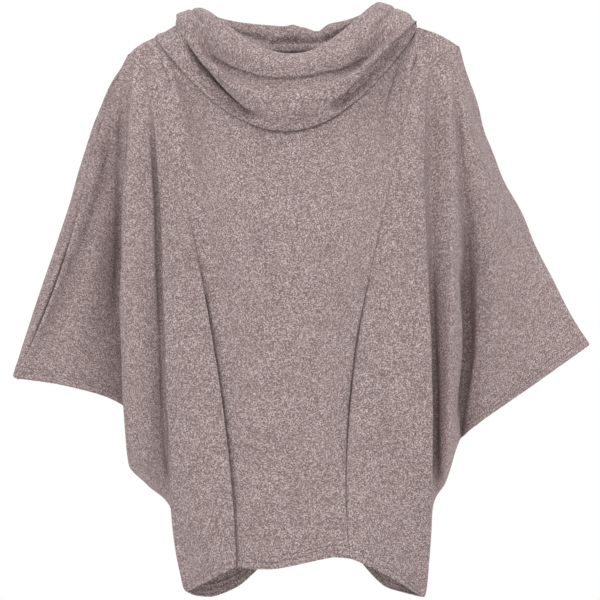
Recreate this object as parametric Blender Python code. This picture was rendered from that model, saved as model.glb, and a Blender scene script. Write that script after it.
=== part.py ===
"""A cowl-neck knit top with batwing sleeves, in the hollow form that it has when worn.

Front, back and sleeves are one cloth that hangs from the shoulders.  Its form is a closed
loop of fold lines: each line starts on the shoulder seam or on the neckline and runs down
to a cuff, to the underarm seam or to the hem.  Between the lines the cloth is a smooth
curve, so a ridge and the groove beside it are two rows of one short table.  The panels are
stretches of that loop, cut at the real seams.  The collar is a tube of rings that rolls
outwards twice, turns over at the rim and ends inside.

Units in the tables are millimetres.  +Z is up, -Y is the front and +X is the side that is
at the right when the front is looked at.  The origin is midway between the shoulders.
"""

import math
from collections import namedtuple

import bpy
import numpy as np

METRES = 0.001          # one table unit in metres
WALL = 2.0              # thickness of the knit cloth
SEAM_WALL = 1.2         # its thickness where it is pressed flat into a shoulder or neck seam
SEAM_GAP = 0.3          # clear space between two pieces at a seam
ROWS = 17               # steps down a fold line
COLLAR_STEPS = 2        # steps between two rings of the collar

MID_DEPTH = -5.0        # the plane that parts front from back
ARM_FORWARD = 0.1       # how far the plane comes forward for each step out along an arm
ARM_START = 180.0       # where that begins, from the centre
BACK_DEPTH = 0.88       # depth of the back, for each step of depth of the front
BACK_PULL = 0.05        # share by which the back's folds sit nearer the centre
SHOULDER_ROUND = 140.0  # drop over which the cloth turns from the shoulder to hang
SHOULDER_SLOPE = 1.5    # 1 for a shoulder as round as a circle, more for a sloping one
UNDERARM_ROUND = 60.0   # rise over which a fold closes to the underarm seam
SHOULDER_FULLNESS = {"left": 12.0, "right": 11.0}
FULLNESS_REACH = 0.5   # share of a fold line's length that the fullness takes
FULLNESS_DEPTH = 60.0   # a line with more depth than this at its top has none

# Neckline: an oval that dips at the front; heights at the given angles from the front.
NECK_CENTRE_X = -18.0
NECK_HALF_WIDTH = 176.0
NECK_FRONT_DEPTH = 100.0
NECK_BACK_DEPTH = 83.0
RING_ANGLES = (0.0, 45.0, 90.0, 135.0, 180.0, 225.0, 270.0, 315.0)
NECK_HEIGHTS = (-111.0, -41.0, 32.0, 21.0, 2.0, 9.0, 18.0, -48.0)
SHOULDER_TIP = {"left": (-233.0, -6.0), "right": (216.0, 5.0)}

# A fold line.  start: share of the shoulder seam from neck to tip, or the angle on the
# neckline.  x and z: where it runs, at its start, a third and two thirds down, and at its
# end.  d: depth in front of the middle plane.  z_back: its end on the back hem.
# closed: front and back meet at its end.  steps: facets to the next line.
FoldLine = namedtuple(
    "FoldLine",
    "name side start x_chest x_waist x_end z_end d_top d_chest d_waist d_end z_back closed steps")

FOLD_LINES = (
    FoldLine("crest", "left", 1.00, -289, -340, -387, -441, 0, 0, 0, 0, -441, False, 1),
    FoldLine("overarm", "left", 0.92, -274, -320, -381, -443, 20, 22, 26, 24, -444, False, 2),
    FoldLine("sleeve", "left", 0.86, -256, -284, -321, -453, 40, 42, 41, 38, -455, False, 2),
    FoldLine("armfold", "left", 0.81, -234, -241, -233, -481, 58, 42, 16, 8, -481, True, 3),
    FoldLine("edge", "left", 0.75, -236, -246, -236, -556, 66, 64, 50, 40, -556, True, 3),
    FoldLine("tube", "left", 0.69, -215, -217, -207, -585, 70, 84, 82, 60, -585, True, 3),
    FoldLine("groove", "left", 0.61, -192, -187, -176, -614, 72, 68, 46, 28, -614, True, 3),
    FoldLine("ridge", "left", 0.53, -185, -180, -158, -732, 72, 87, 77, 0, -732, True, 3),
    FoldLine("side", "left", 0.42, -167, -148, -124, -714, 74, 100, 97, 69, -746, False, 2),
    FoldLine("princess", "left", 0.28, -150, -107, -86, -695, 76, 107, 109, 91, -734, False, 1),
    FoldLine("neck", "left", 0.00, -131, -95, -77, -696, 80, 112, 111, 94, -729, False, 3),
    FoldLine("bust", "front", -63, -115, -84, -65, -697, 50, 115, 111, 97, -720, False, 3),
    FoldLine("bust", "front", -36, -84, -61, -42, -697, 84, 120, 114, 102, -703, False, 4),
    FoldLine("centre", "front", 0, -16, -12, -9, -692, 102, 124, 116, 107, -699, False, 4),
    FoldLine("bust", "front", 36, 54, 34, 23, -687, 84, 121, 113, 104, -698, False, 3),
    FoldLine("bust", "front", 63, 92, 53, 47, -684, 50, 116, 109, 99, -698, False, 3),
    FoldLine("neck", "right", 0.00, 113, 68, 61, -684, 80, 112, 108, 97, -698, False, 1),
    FoldLine("princess", "right", 0.18, 115, 72, 68, -684, 76, 109, 107, 96, -699, False, 2),
    FoldLine("side", "right", 0.29, 144, 124, 119, -707, 74, 100, 95, 71, -736, False, 3),
    FoldLine("ridge", "right", 0.40, 167, 176, 167, -740, 72, 87, 83, 0, -740, True, 3),
    FoldLine("groove", "right", 0.47, 182, 184, 182, -608, 72, 63, 32, 26, -608, True, 3),
    FoldLine("tube", "right", 0.56, 202, 202, 197, -579, 70, 78, 74, 52, -579, True, 3),
    FoldLine("edge", "right", 0.63, 214, 219, 211, -535, 66, 68, 58, 38, -535, True, 3),
    FoldLine("armfold", "right", 0.69, 219, 227, 217, -526, 58, 54, 16, 10, -526, True, 2),
    FoldLine("fold", "right", 0.74, 228, 243, 225, -515, 54, 57, 36, 14, -516, False, 2),
    FoldLine("corner", "right", 0.79, 239, 263, 240, -503, 48, 56, 46, 24, -505, False, 3),
    FoldLine("sleeve", "right", 0.85, 244, 292, 315, -452, 36, 48, 40, 40, -455, False, 3),
    FoldLine("overarm", "right", 0.88, 246, 313, 387, -397, 32, 24, 15, 12, -398, False, 1),
    FoldLine("crest", "right", 1.00, 252, 316, 390, -393, 0, 0, 0, 0, -393, False, 1),
)

# A ring of the collar, from the neckline seam to its inner end.  x and half_width place it
# across, front and back are its depths there, and the z values go round at RING_ANGLES.
CollarRing = namedtuple(
    "CollarRing", "name x half_width front back z_0 z_45 z_90 z_135 z_180 z_225 z_270 z_315")

COLLAR_RINGS = (
    CollarRing("tuck", -8, 158, 94, 82, -102, -8, 35, 30, 14, 21, 30, -29),
    CollarRing("edge", -5, 163, 110, 94, -97, -3, 37, 30, 13, 21, 36, -34),
    CollarRing("lower_face", -7, 159, 123, 104, -68, 7, 43, 35, 18, 27, 44, -11),
    CollarRing("crease", -10, 141, 107, 92, -40, -9, 49, 38, 24, 32, 49, -16),
    CollarRing("upper_face", -12, 142, 116, 98, -26, 14, 57, 42, 30, 37, 54, 14),
    CollarRing("rim", -15, 122, 99, 86, -8, 35, 65, 46, 34, 41, 57, 35),
    CollarRing("inner_face", -15, 111, 87, 75, -19, 24, 51, 36, 23, 30, 46, 22),
    CollarRing("inner_crease", -15, 113, 84, 72, -38, 5, 35, 22, 10, 16, 30, 3),
    CollarRing("inner_roll", -15, 108, 79, 66, -54, -11, 19, 10, 0, 5, 14, -14),
    CollarRing("end", -15, 114, 84, 70, -73, -27, 5, -4, -14, -9, 0, -30),
)

# The panels: first and last fold line of each, as places in the loop of front and back.
LINE_COUNT = len(FOLD_LINES)
PRINCESS_LEFT = 9
PRINCESS_RIGHT = 17
OVERARM_LEFT = 1
OVERARM_RIGHT = LINE_COUNT - 2
PANELS = (
    ("front_side_left", OVERARM_LEFT, PRINCESS_LEFT),
    ("front_centre", PRINCESS_LEFT, PRINCESS_RIGHT),
    ("front_side_right", PRINCESS_RIGHT, OVERARM_RIGHT),
    ("back", OVERARM_RIGHT, 2 * (LINE_COUNT - 1) + OVERARM_LEFT),
)

CLOTH_COLOUR = (0.337, 0.258, 0.254, 1.0)
CLOTH_ROUGHNESS = 0.92


def smooth_curve(knots, values, places):
    """Cubic curve through values (last axis) at knots, with no swing past any value."""
    gaps = np.diff(knots)
    slopes = np.diff(values, axis=-1) / gaps
    before = slopes[..., :-1]
    after = slopes[..., 1:]
    same_way = before * after > 0.0
    total = np.where(same_way, before + after, 1.0)
    inner = np.where(same_way, 2.0 * before * after / total, 0.0)
    tangents = np.concatenate([slopes[..., :1], inner, slopes[..., -1:]], axis=-1)
    span = np.clip(np.searchsorted(knots, places, side="right") - 1, 0, len(gaps) - 1)
    gap = gaps[span]
    t = (places - knots[span]) / gap
    start = values[..., span]
    end = values[..., span + 1]
    leave = tangents[..., span] * gap
    arrive = tangents[..., span + 1] * gap
    blend = t * t * (3.0 - 2.0 * t)
    return (start + (end - start) * blend
            + leave * t * (1.0 - t) ** 2
            - arrive * t * t * (1.0 - t))


def ring_waves(angles):
    """The waves whose sum gives a ring's height, one for each of RING_ANGLES."""
    turn = np.radians(np.asarray(angles, dtype=float))
    waves = [np.cos(turn * number) for number in range(5)]
    waves += [np.sin(turn * number) for number in range(1, 4)]
    return np.stack(waves, axis=-1)


def ring_heights(heights, angles):
    """Height round a ring at angles in degrees, from its heights at RING_ANGLES."""
    weights = np.linalg.solve(ring_waves(RING_ANGLES), np.array(heights, dtype=float))
    return ring_waves(angles) @ weights


def ring_points(x, half_width, front, back, heights, angles):
    """Points of an oval ring; angle 0 is its front and 90 its side at +X."""
    turn = np.radians(angles)
    depth = np.where(np.cos(turn) > 0.0, front, back)
    across = x + half_width * np.sin(turn)
    along = MID_DEPTH - depth * np.cos(turn)
    return np.stack([across, along, ring_heights(heights, angles)], axis=-1)


def neckline(angles):
    """Points of the neckline seam."""
    return ring_points(NECK_CENTRE_X, NECK_HALF_WIDTH, NECK_FRONT_DEPTH, NECK_BACK_DEPTH,
                       NECK_HEIGHTS, angles)


def middle_plane(x):
    """Depth of the plane between front and back; it comes forward along the arms."""
    return MID_DEPTH - ARM_FORWARD * np.maximum(0.0, np.abs(x) - ARM_START)


def shoulder_point(side, share):
    """Point on a shoulder seam, a straight line from the neckline to the shoulder tip."""
    neck = neckline(np.array([-90.0 if side == "left" else 90.0]))[0]
    tip_x, tip_z = SHOULDER_TIP[side]
    tip = np.array([tip_x, float(middle_plane(tip_x)), tip_z])
    return neck + (tip - neck) * share


def start_point(line, facing):
    """Top of a fold line, on the shoulder seam or on the front or back neckline."""
    if line.side != "front":
        return shoulder_point(line.side, line.start)
    angle = line.start if facing < 0 else 180.0 - line.start
    return neckline(np.array([float(angle)]))[0]


def quarter_round(distance, reach):
    """Rises from 0 to 1 over the reach as a quarter of a circle does."""
    share = np.clip(distance / reach, 0.0, 1.0)
    return np.sqrt(1.0 - (1.0 - share) ** 2)


def fold_line_points(line, facing, down):
    """Points of one fold line at the shares in down; facing is -1 front, +1 back."""
    top = start_point(line, facing)
    levels = np.array([0.0, 1.0 / 3.0, 2.0 / 3.0, 1.0])
    x = np.polynomial.polynomial.Polynomial.fit(
        levels, [top[0], line.x_chest, line.x_waist, line.x_end], 3)(down)
    end_height = line.z_end if facing < 0 else line.z_back
    z = top[2] + (end_height - top[2]) * down
    depths = np.array([line.d_top, line.d_chest, line.d_waist, line.d_end], dtype=float)
    depth = smooth_curve(levels, depths, down)
    if facing > 0:
        depth = depth * BACK_DEPTH
        at_arm = min(1.0, line.d_top / FULLNESS_DEPTH)
        x = x * (1.0 - BACK_PULL * at_arm * np.sin(math.pi * down))
    if line.side in SHOULDER_FULLNESS:
        outwards = 1.0 if line.side == "right" else -1.0
        share = max(0.0, 1.0 - line.d_top / FULLNESS_DEPTH)
        swell = np.sin(math.pi * np.clip(down / FULLNESS_REACH, 0.0, 1.0)) ** 2
        x = x + outwards * SHOULDER_FULLNESS[line.side] * share * swell
    start_offset = top[1] - float(middle_plane(top[0]))
    turned = quarter_round(top[2] - z, SHOULDER_ROUND) ** SHOULDER_SLOPE
    offset = start_offset + (facing * depth - start_offset) * turned
    if line.closed:
        closing = UNDERARM_ROUND if line.d_end > 0 else 1.0
        offset = offset * quarter_round(z - z[-1], closing)
    return np.stack([x, offset, z], axis=-1)


def loop_lines():
    """The fold lines once round the garment: the front from left to right, then the back."""
    front = [(line, -1) for line in FOLD_LINES]
    back = [(line, 1) for line in FOLD_LINES[-2:0:-1]]
    return front + back


def loop_steps():
    """Facets between each fold line of the loop and the next one."""
    front = [line.steps for line in FOLD_LINES[:-1]]
    return front + front[::-1]


def garment_grid():
    """Rows of points round the whole garment, and the place of each fold line in a row."""
    down = 0.5 - 0.5 * np.cos(np.linspace(0.0, math.pi, ROWS + 1))
    lines = np.stack([fold_line_points(line, facing, down) for line, facing in loop_lines()])
    count = len(lines)
    wrap = 3
    wrapped = np.concatenate([lines[-wrap:], lines, lines[:wrap + 1]])
    knots = np.arange(-wrap, count + wrap + 1, dtype=float)
    steps = loop_steps()
    marks = np.concatenate([[0], np.cumsum(steps)])
    places = np.concatenate([i + np.arange(n) / n for i, n in enumerate(steps)])
    grid = smooth_curve(knots, wrapped.transpose(1, 2, 0), places).transpose(0, 2, 1)
    fit_neckline(grid, marks, down)
    fit_shared_seams(grid, marks, down)
    grid[..., 1] += middle_plane(grid[..., 0])
    return grid, marks


def neckline_angles(marks):
    """Angle on the neckline of each place in a row, or nan where the row isn't on it."""
    angles = np.full(marks[-1], np.nan)
    for number, line in enumerate(loop_lines()):
        following = loop_lines()[(number + 1) % len(loop_lines())]
        first = line_angle(*line)
        last = line_angle(*following)
        if first is None or last is None:
            continue
        stretch = np.linspace(first, last, marks[number + 1] - marks[number] + 1)
        angles[marks[number]:marks[number + 1]] = stretch[:-1]
        angles[marks[number + 1] % marks[-1]] = last
    return angles


def line_angle(line, facing):
    """Angle of a fold line's start on the neckline, or None if it starts on a shoulder."""
    if line.side == "front":
        return float(line.start) if facing < 0 else 180.0 - line.start
    if line.name != "neck":
        return None
    if line.side == "right":
        return 90.0
    return -90.0 if facing < 0 else 270.0


def fit_neckline(grid, marks, down):
    """Moves the top row onto the neckline, and less of each row below it."""
    angles = neckline_angles(marks)
    on_neck = np.flatnonzero(~np.isnan(angles))
    target = neckline(angles[on_neck])
    target[:, 1] -= middle_plane(target[:, 0])
    error = target - grid[0, on_neck]
    fade = np.clip(1.0 - 4.0 * down, 0.0, 1.0) ** 2
    grid[:, on_neck] += fade[:, None, None] * error


def fit_shared_seams(grid, marks, down):
    """Gives front and back the same points where they share an underarm or side seam."""
    total = marks[-1]
    fade = np.clip(8.0 * down - 7.0, 0.0, 1.0) ** 2
    for first, last in closed_stretches():
        front = np.arange(marks[first], marks[last] + 1)
        back = (total - front) % total
        shared = 0.5 * (grid[-1, front] + grid[-1, back])
        shared[:, 1] = 0.0
        for side in (front, back):
            grid[:, side] += fade[:, None, None] * (shared - grid[-1, side])


def closed_stretches():
    """First and last fold line of each stretch whose end is a seam with the back."""
    closed = [number for number, line in enumerate(FOLD_LINES) if line.closed]
    left = [number for number in closed if number < PRINCESS_LEFT]
    right = [number for number in closed if number > PRINCESS_RIGHT]
    return (left[0], left[-1]), (right[0], right[-1])


def unit(vectors):
    """Vectors scaled to length 1."""
    length = np.linalg.norm(vectors, axis=-1, keepdims=True)
    return vectors / np.maximum(length, 1e-9)


def grid_normals(grid):
    """Outward direction at each point of a grid that goes once round."""
    around = np.roll(grid, -1, axis=1) - np.roll(grid, 1, axis=1)
    downwards = np.gradient(grid, axis=0)
    return unit(np.cross(downwards, around))


def share_seam_normals(normals, marks):
    """Averages the directions where front and back meet, so that their edges face."""
    total = marks[-1]
    stretches = [(0, first, last) for first, last in shoulder_stretches()]
    stretches += [(-1, first, last) for first, last in closed_stretches()]
    for row, first, last in stretches:
        front = np.arange(marks[first], marks[last] + 1)
        back = (total - front) % total
        shared = unit(normals[row, front] + normals[row, back])
        normals[row, front] = shared
        normals[row, back] = shared


def shoulder_stretches():
    """First and last fold line of each shoulder seam."""
    necks = [number for number, line in enumerate(FOLD_LINES) if line.name == "neck"]
    return (0, necks[0]), (necks[1], LINE_COUNT - 1)


def pull_in(outer, inner, edge, neighbour):
    """Moves one edge of a wall towards its neighbour row, square to the seam."""
    along = unit(np.gradient(outer[edge], axis=0))
    towards = outer[neighbour] - outer[edge]
    towards = towards - along * np.sum(towards * along, axis=-1, keepdims=True)
    shift = unit(towards) * (0.5 * SEAM_GAP)
    outer[edge] = outer[edge] + shift
    inner[edge] = inner[edge] + shift


def wall_mesh(name, outer, inner, closed):
    """A mesh with two grids as its faces and rims at its edges; closed rows go round."""
    rows, columns = outer.shape[:2]
    vertices = np.concatenate([outer.reshape(-1, 3), inner.reshape(-1, 3)]) * METRES
    index = np.arange(rows * columns).reshape(rows, columns)
    across = np.concatenate([index, index[:, :1]], axis=1) if closed else index
    below = across[1:]
    above = across[:-1]
    face = np.stack([above[:, :-1], below[:, :-1], below[:, 1:], above[:, 1:]], axis=-1)
    outer_faces = face.reshape(-1, 4)
    offset = rows * columns
    inner_faces = outer_faces[:, ::-1] + offset
    rims = [rim(across[0][::-1], offset), rim(across[-1], offset)]
    if not closed:
        rims += [rim(index[:, 0], offset), rim(index[::-1, -1], offset)]
    faces = np.concatenate([outer_faces, inner_faces] + rims)
    mesh = bpy.data.meshes.new(name)
    mesh.from_pydata(vertices.tolist(), [], faces.tolist())
    mesh.update()
    mesh.shade_smooth()
    return mesh


def rim(edge, offset):
    """Faces that join an edge of the outer grid to the same edge of the inner one."""
    return np.stack([edge[:-1], edge[:-1] + offset, edge[1:] + offset, edge[1:]], axis=-1)


def cloth_material(name):
    """Knit cloth in the heathered mauve of the garment."""
    material = bpy.data.materials.new(name)
    material.use_nodes = True
    shader = material.node_tree.nodes["Principled BSDF"]
    shader.inputs["Base Color"].default_value = CLOTH_COLOUR
    shader.inputs["Roughness"].default_value = CLOTH_ROUGHNESS
    shader.inputs["Metallic"].default_value = 0.0
    return material


def add_piece(name, mesh):
    """Puts a mesh into the scene as a named object with its own material."""
    mesh.materials.append(cloth_material(name + "_knit"))
    piece = bpy.data.objects.new(name, mesh)
    bpy.context.scene.collection.objects.link(piece)
    return piece


def collar_grid(angles):
    """Rings of the collar from its inner end, over the rim and two rolls, to the neckline."""
    rings = [neckline(angles)]
    for ring in COLLAR_RINGS:
        rings.append(ring_points(ring.x, ring.half_width, ring.front, ring.back, ring[5:], angles))
    knots = np.arange(len(rings), dtype=float)
    places = np.linspace(0.0, knots[-1], COLLAR_STEPS * (len(rings) - 1) + 1)
    points = np.stack(rings).transpose(1, 2, 0)
    return smooth_curve(knots, points, places).transpose(2, 0, 1)[::-1]


def share_neckline_normals(normals, collar_normals, places, matches):
    """Averages the directions of collar and panels along the neckline seam."""
    shared = collar_normals[-1].copy()
    np.add.at(shared, matches, normals[0, places])
    shared = unit(shared)
    collar_normals[-1] = shared
    normals[0, places] = shared[matches]


def wall_inside(grid, normals, seam_row):
    """Inner points of a wall, nearer to the outer ones along the row of the seam."""
    thickness = np.full((len(grid), 1, 1), WALL)
    thickness[seam_row] = SEAM_WALL
    return grid - normals * thickness


def build_panels(grid, normals, marks):
    """Front centre, two side fronts and the back, cut from the one loop of cloth."""
    inside = wall_inside(grid, normals, 0)
    total = marks[-1]
    all_marks = np.concatenate([marks, marks[1:] + total])
    for name, first, last in PANELS:
        columns = np.arange(all_marks[first], all_marks[last] + 1) % total
        outer = grid[:, columns].copy()
        inner = inside[:, columns].copy()
        pull_in(outer, inner, 0, 1)
        pull_in(outer, inner, -1, -2)
        pull_in(outer.swapaxes(0, 1), inner.swapaxes(0, 1), 0, 1)
        pull_in(outer.swapaxes(0, 1), inner.swapaxes(0, 1), -1, -2)
        add_piece(name, wall_mesh(name, outer, inner, False))


def build_collar(grid, normals):
    """The collar, a wall that goes once round."""
    outer = grid.copy()
    inner = wall_inside(grid, normals, -1)
    pull_in(outer, inner, -1, -2)
    add_piece("collar", wall_mesh("collar", outer, inner, True))


def build_garment():
    """Works out the cloth as one form, then makes its pieces."""
    grid, marks = garment_grid()
    angles = neckline_angles(marks)
    places = np.flatnonzero(~np.isnan(angles))
    round_angles, matches = np.unique(np.mod(angles[places], 360.0), return_inverse=True)
    collar = collar_grid(round_angles)
    normals = grid_normals(grid)
    collar_normals = grid_normals(collar)
    share_seam_normals(normals, marks)
    share_neckline_normals(normals, collar_normals, places, matches)
    build_panels(grid, normals, marks)
    build_collar(collar, collar_normals)


def clear_scene():
    """Removes whatever the scene holds."""
    for item in list(bpy.data.objects):
        bpy.data.objects.remove(item, do_unlink=True)


clear_scene()
build_garment()
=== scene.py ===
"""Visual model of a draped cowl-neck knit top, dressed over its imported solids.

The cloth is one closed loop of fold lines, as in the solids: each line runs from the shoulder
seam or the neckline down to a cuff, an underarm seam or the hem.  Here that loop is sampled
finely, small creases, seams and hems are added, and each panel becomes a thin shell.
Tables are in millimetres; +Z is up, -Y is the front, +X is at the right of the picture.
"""

import logging
import math
from dataclasses import dataclass, field
from enum import Enum
from typing import Any, Dict, List, NamedTuple, Optional, Sequence, Tuple, Union

import bpy
import numpy as np
from mathutils import Matrix


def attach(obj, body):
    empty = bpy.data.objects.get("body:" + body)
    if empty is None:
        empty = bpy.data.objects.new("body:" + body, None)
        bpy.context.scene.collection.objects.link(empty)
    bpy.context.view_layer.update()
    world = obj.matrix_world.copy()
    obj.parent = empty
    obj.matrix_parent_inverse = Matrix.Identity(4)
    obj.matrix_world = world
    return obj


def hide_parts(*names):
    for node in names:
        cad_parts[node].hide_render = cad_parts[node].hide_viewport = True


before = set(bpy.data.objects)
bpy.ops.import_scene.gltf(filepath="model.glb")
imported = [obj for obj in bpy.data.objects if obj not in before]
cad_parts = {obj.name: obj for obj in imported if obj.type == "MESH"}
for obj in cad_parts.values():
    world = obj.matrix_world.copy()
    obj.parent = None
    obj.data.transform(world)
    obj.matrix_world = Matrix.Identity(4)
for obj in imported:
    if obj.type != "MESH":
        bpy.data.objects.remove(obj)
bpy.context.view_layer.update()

LOG = logging.getLogger("knit_top")
METRES = 0.001
Array = np.ndarray
Colour = Tuple[float, float, float]
Path = Tuple[Tuple[float, float], ...]


class Face(Enum):
    """Which face of the garment a crease lies on."""

    FRONT = "front"
    BACK = "back"
    ROLL = "outer face of the collar"
    BAND = "lower band of the collar, under its roll"
    INSIDE = "inside of the collar's back"


class FoldLine(NamedTuple):
    """One fold of the cloth, with its places across, its heights and its depths."""

    name: str
    side: str
    start: float
    x_chest: float
    x_waist: float
    x_end: float
    z_end: float
    d_top: float
    d_chest: float
    d_waist: float
    d_end: float
    z_back: float
    closed: bool
    cells: int


class CollarRing(NamedTuple):
    """One ring of the collar: its oval, and its heights every 45 degrees from the front."""

    name: str
    x: float
    half_width: float
    front: float
    back: float
    z_0: float
    z_45: float
    z_90: float
    z_135: float
    z_180: float
    z_225: float
    z_270: float
    z_315: float


class Crease(NamedTuple):
    """A soft trough (depth below 0) or ridge along a path of (x, z) places.

    left and right are its reach on either side.  The right of a path drawn downwards is the
    picture's right, and of one drawn rightwards it is above.
    """

    name: str
    face: Face
    depth: float
    left: float
    right: float
    path: Path


FOLD_LINES: Tuple[FoldLine, ...] = (
    FoldLine("crest", "left", 1.00, -289, -340, -387, -440, 0, 0, 0, 0, -440, False, 8),
    FoldLine("overarm", "left", 0.92, -274, -320, -381, -442, 20, 24, 30, 28, -441, False, 9),
    FoldLine("sleeve", "left", 0.86, -256, -284, -321, -451, 38, 34, 32, 30, -449, False, 9),
    FoldLine("armfold", "left", 0.81, -233, -239, -232, -490, 54, 32, 8, 6, -490, True, 14),
    FoldLine("edge", "left", 0.75, -234, -240, -232, -556, 68, 76, 70, 50, -556, True, 14),
    FoldLine("tube", "left", 0.69, -215, -217, -207, -588, 70, 84, 82, 60, -588, True, 14),
    FoldLine("groove", "left", 0.61, -192, -187, -176, -617, 72, 78, 66, 46, -617, True, 14),
    FoldLine("ridge", "left", 0.53, -185, -180, -155, -732, 72, 88, 79, 24, -732, True, 14),
    FoldLine("side", "left", 0.42, -167, -148, -124, -714, 74, 100, 97, 69, -741, False, 9),
    FoldLine("princess", "left", 0.28, -150, -107, -86, -695, 76, 107, 109, 91, -728, False, 5),
    FoldLine("neck", "left", 0.00, -131, -95, -77, -696, 80, 112, 111, 94, -722, False, 14),
    FoldLine("bust", "front", -63, -115, -84, -65, -697, 50, 115, 111, 97, -711, False, 14),
    FoldLine("bust", "front", -36, -84, -61, -42, -697, 84, 120, 114, 102, -693, False, 18),
    FoldLine("centre", "front", 0, -16, -12, -9, -692, 102, 124, 116, 107, -688, False, 18),
    FoldLine("bust", "front", 36, 54, 34, 23, -685, 84, 121, 113, 104, -686, False, 14),
    FoldLine("bust", "front", 63, 92, 53, 47, -681, 50, 116, 109, 99, -680, False, 14),
    FoldLine("neck", "right", 0.00, 113, 68, 61, -682, 80, 112, 108, 97, -674, False, 5),
    FoldLine("princess", "right", 0.18, 115, 72, 68, -683, 76, 109, 107, 96, -676, False, 9),
    FoldLine("side", "right", 0.29, 144, 124, 119, -707, 74, 100, 95, 71, -728, False, 14),
    FoldLine("ridge", "right", 0.40, 167, 176, 168, -740, 72, 87, 84, 24, -740, True, 14),
    FoldLine("groove", "right", 0.47, 178, 180, 181, -613, 72, 70, 50, 34, -613, True, 14),
    FoldLine("tube", "right", 0.56, 202, 202, 197, -585, 70, 78, 74, 52, -585, True, 14),
    FoldLine("edge", "right", 0.63, 214, 219, 211, -540, 66, 68, 58, 38, -540, True, 14),
    FoldLine("armfold", "right", 0.69, 219, 227, 217, -526, 58, 54, 16, 10, -526, True, 9),
    FoldLine("fold", "right", 0.74, 228, 243, 225, -515, 54, 57, 36, 20, -516, False, 9),
    FoldLine("corner", "right", 0.79, 239, 263, 240, -503, 48, 56, 46, 32, -505, False, 14),
    FoldLine("sleeve", "right", 0.85, 244, 292, 315, -450, 36, 48, 40, 40, -447, False, 14),
    FoldLine("overarm", "right", 0.88, 246, 313, 388, -399, 32, 24, 15, 12, -397, False, 5),
    FoldLine("crest", "right", 1.00, 252, 316, 392, -397, 0, 0, 0, 0, -397, False, 5),
)

NECKLINE_HEIGHTS = (-111, -41, 32, 21, 2, 9, 18, -48)

COLLAR_RINGS: Tuple[CollarRing, ...] = (
    CollarRing("seam", -18, 176, 100, 83, *NECKLINE_HEIGHTS),
    CollarRing("tuck", -8, 158, 88, 80, -102, 3, 39, 30, 14, 21, 35, -20),
    CollarRing("edge", -5, 163, 110, 94, -97, -3, 37, 30, 13, 21, 36, -34),
    CollarRing("lower_face", -7, 159, 123, 104, -68, -8, 43, 35, 18, 27, 44, -22),
    CollarRing("crease", -10, 141, 107, 92, -48, -13, 49, 38, 24, 32, 49, -19),
    CollarRing("upper_face", -12, 142, 116, 98, -26, 14, 57, 42, 30, 37, 54, 14),
    CollarRing("rim", -15, 122, 99, 86, -8, 35, 65, 46, 36, 45, 57, 35),
    CollarRing("inner_face", -15, 111, 87, 75, -19, 24, 51, 36, 23, 30, 46, 22),
    CollarRing("inner_crease", -15, 113, 84, 72, -38, 5, 35, 22, 10, 16, 30, 3),
    CollarRing("inner_roll", -15, 108, 79, 66, -54, -11, 19, 10, 0, 5, 14, -14),
    CollarRing("end", -15, 114, 84, 70, -73, -27, 5, -4, -14, -9, 0, -30),
)

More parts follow.
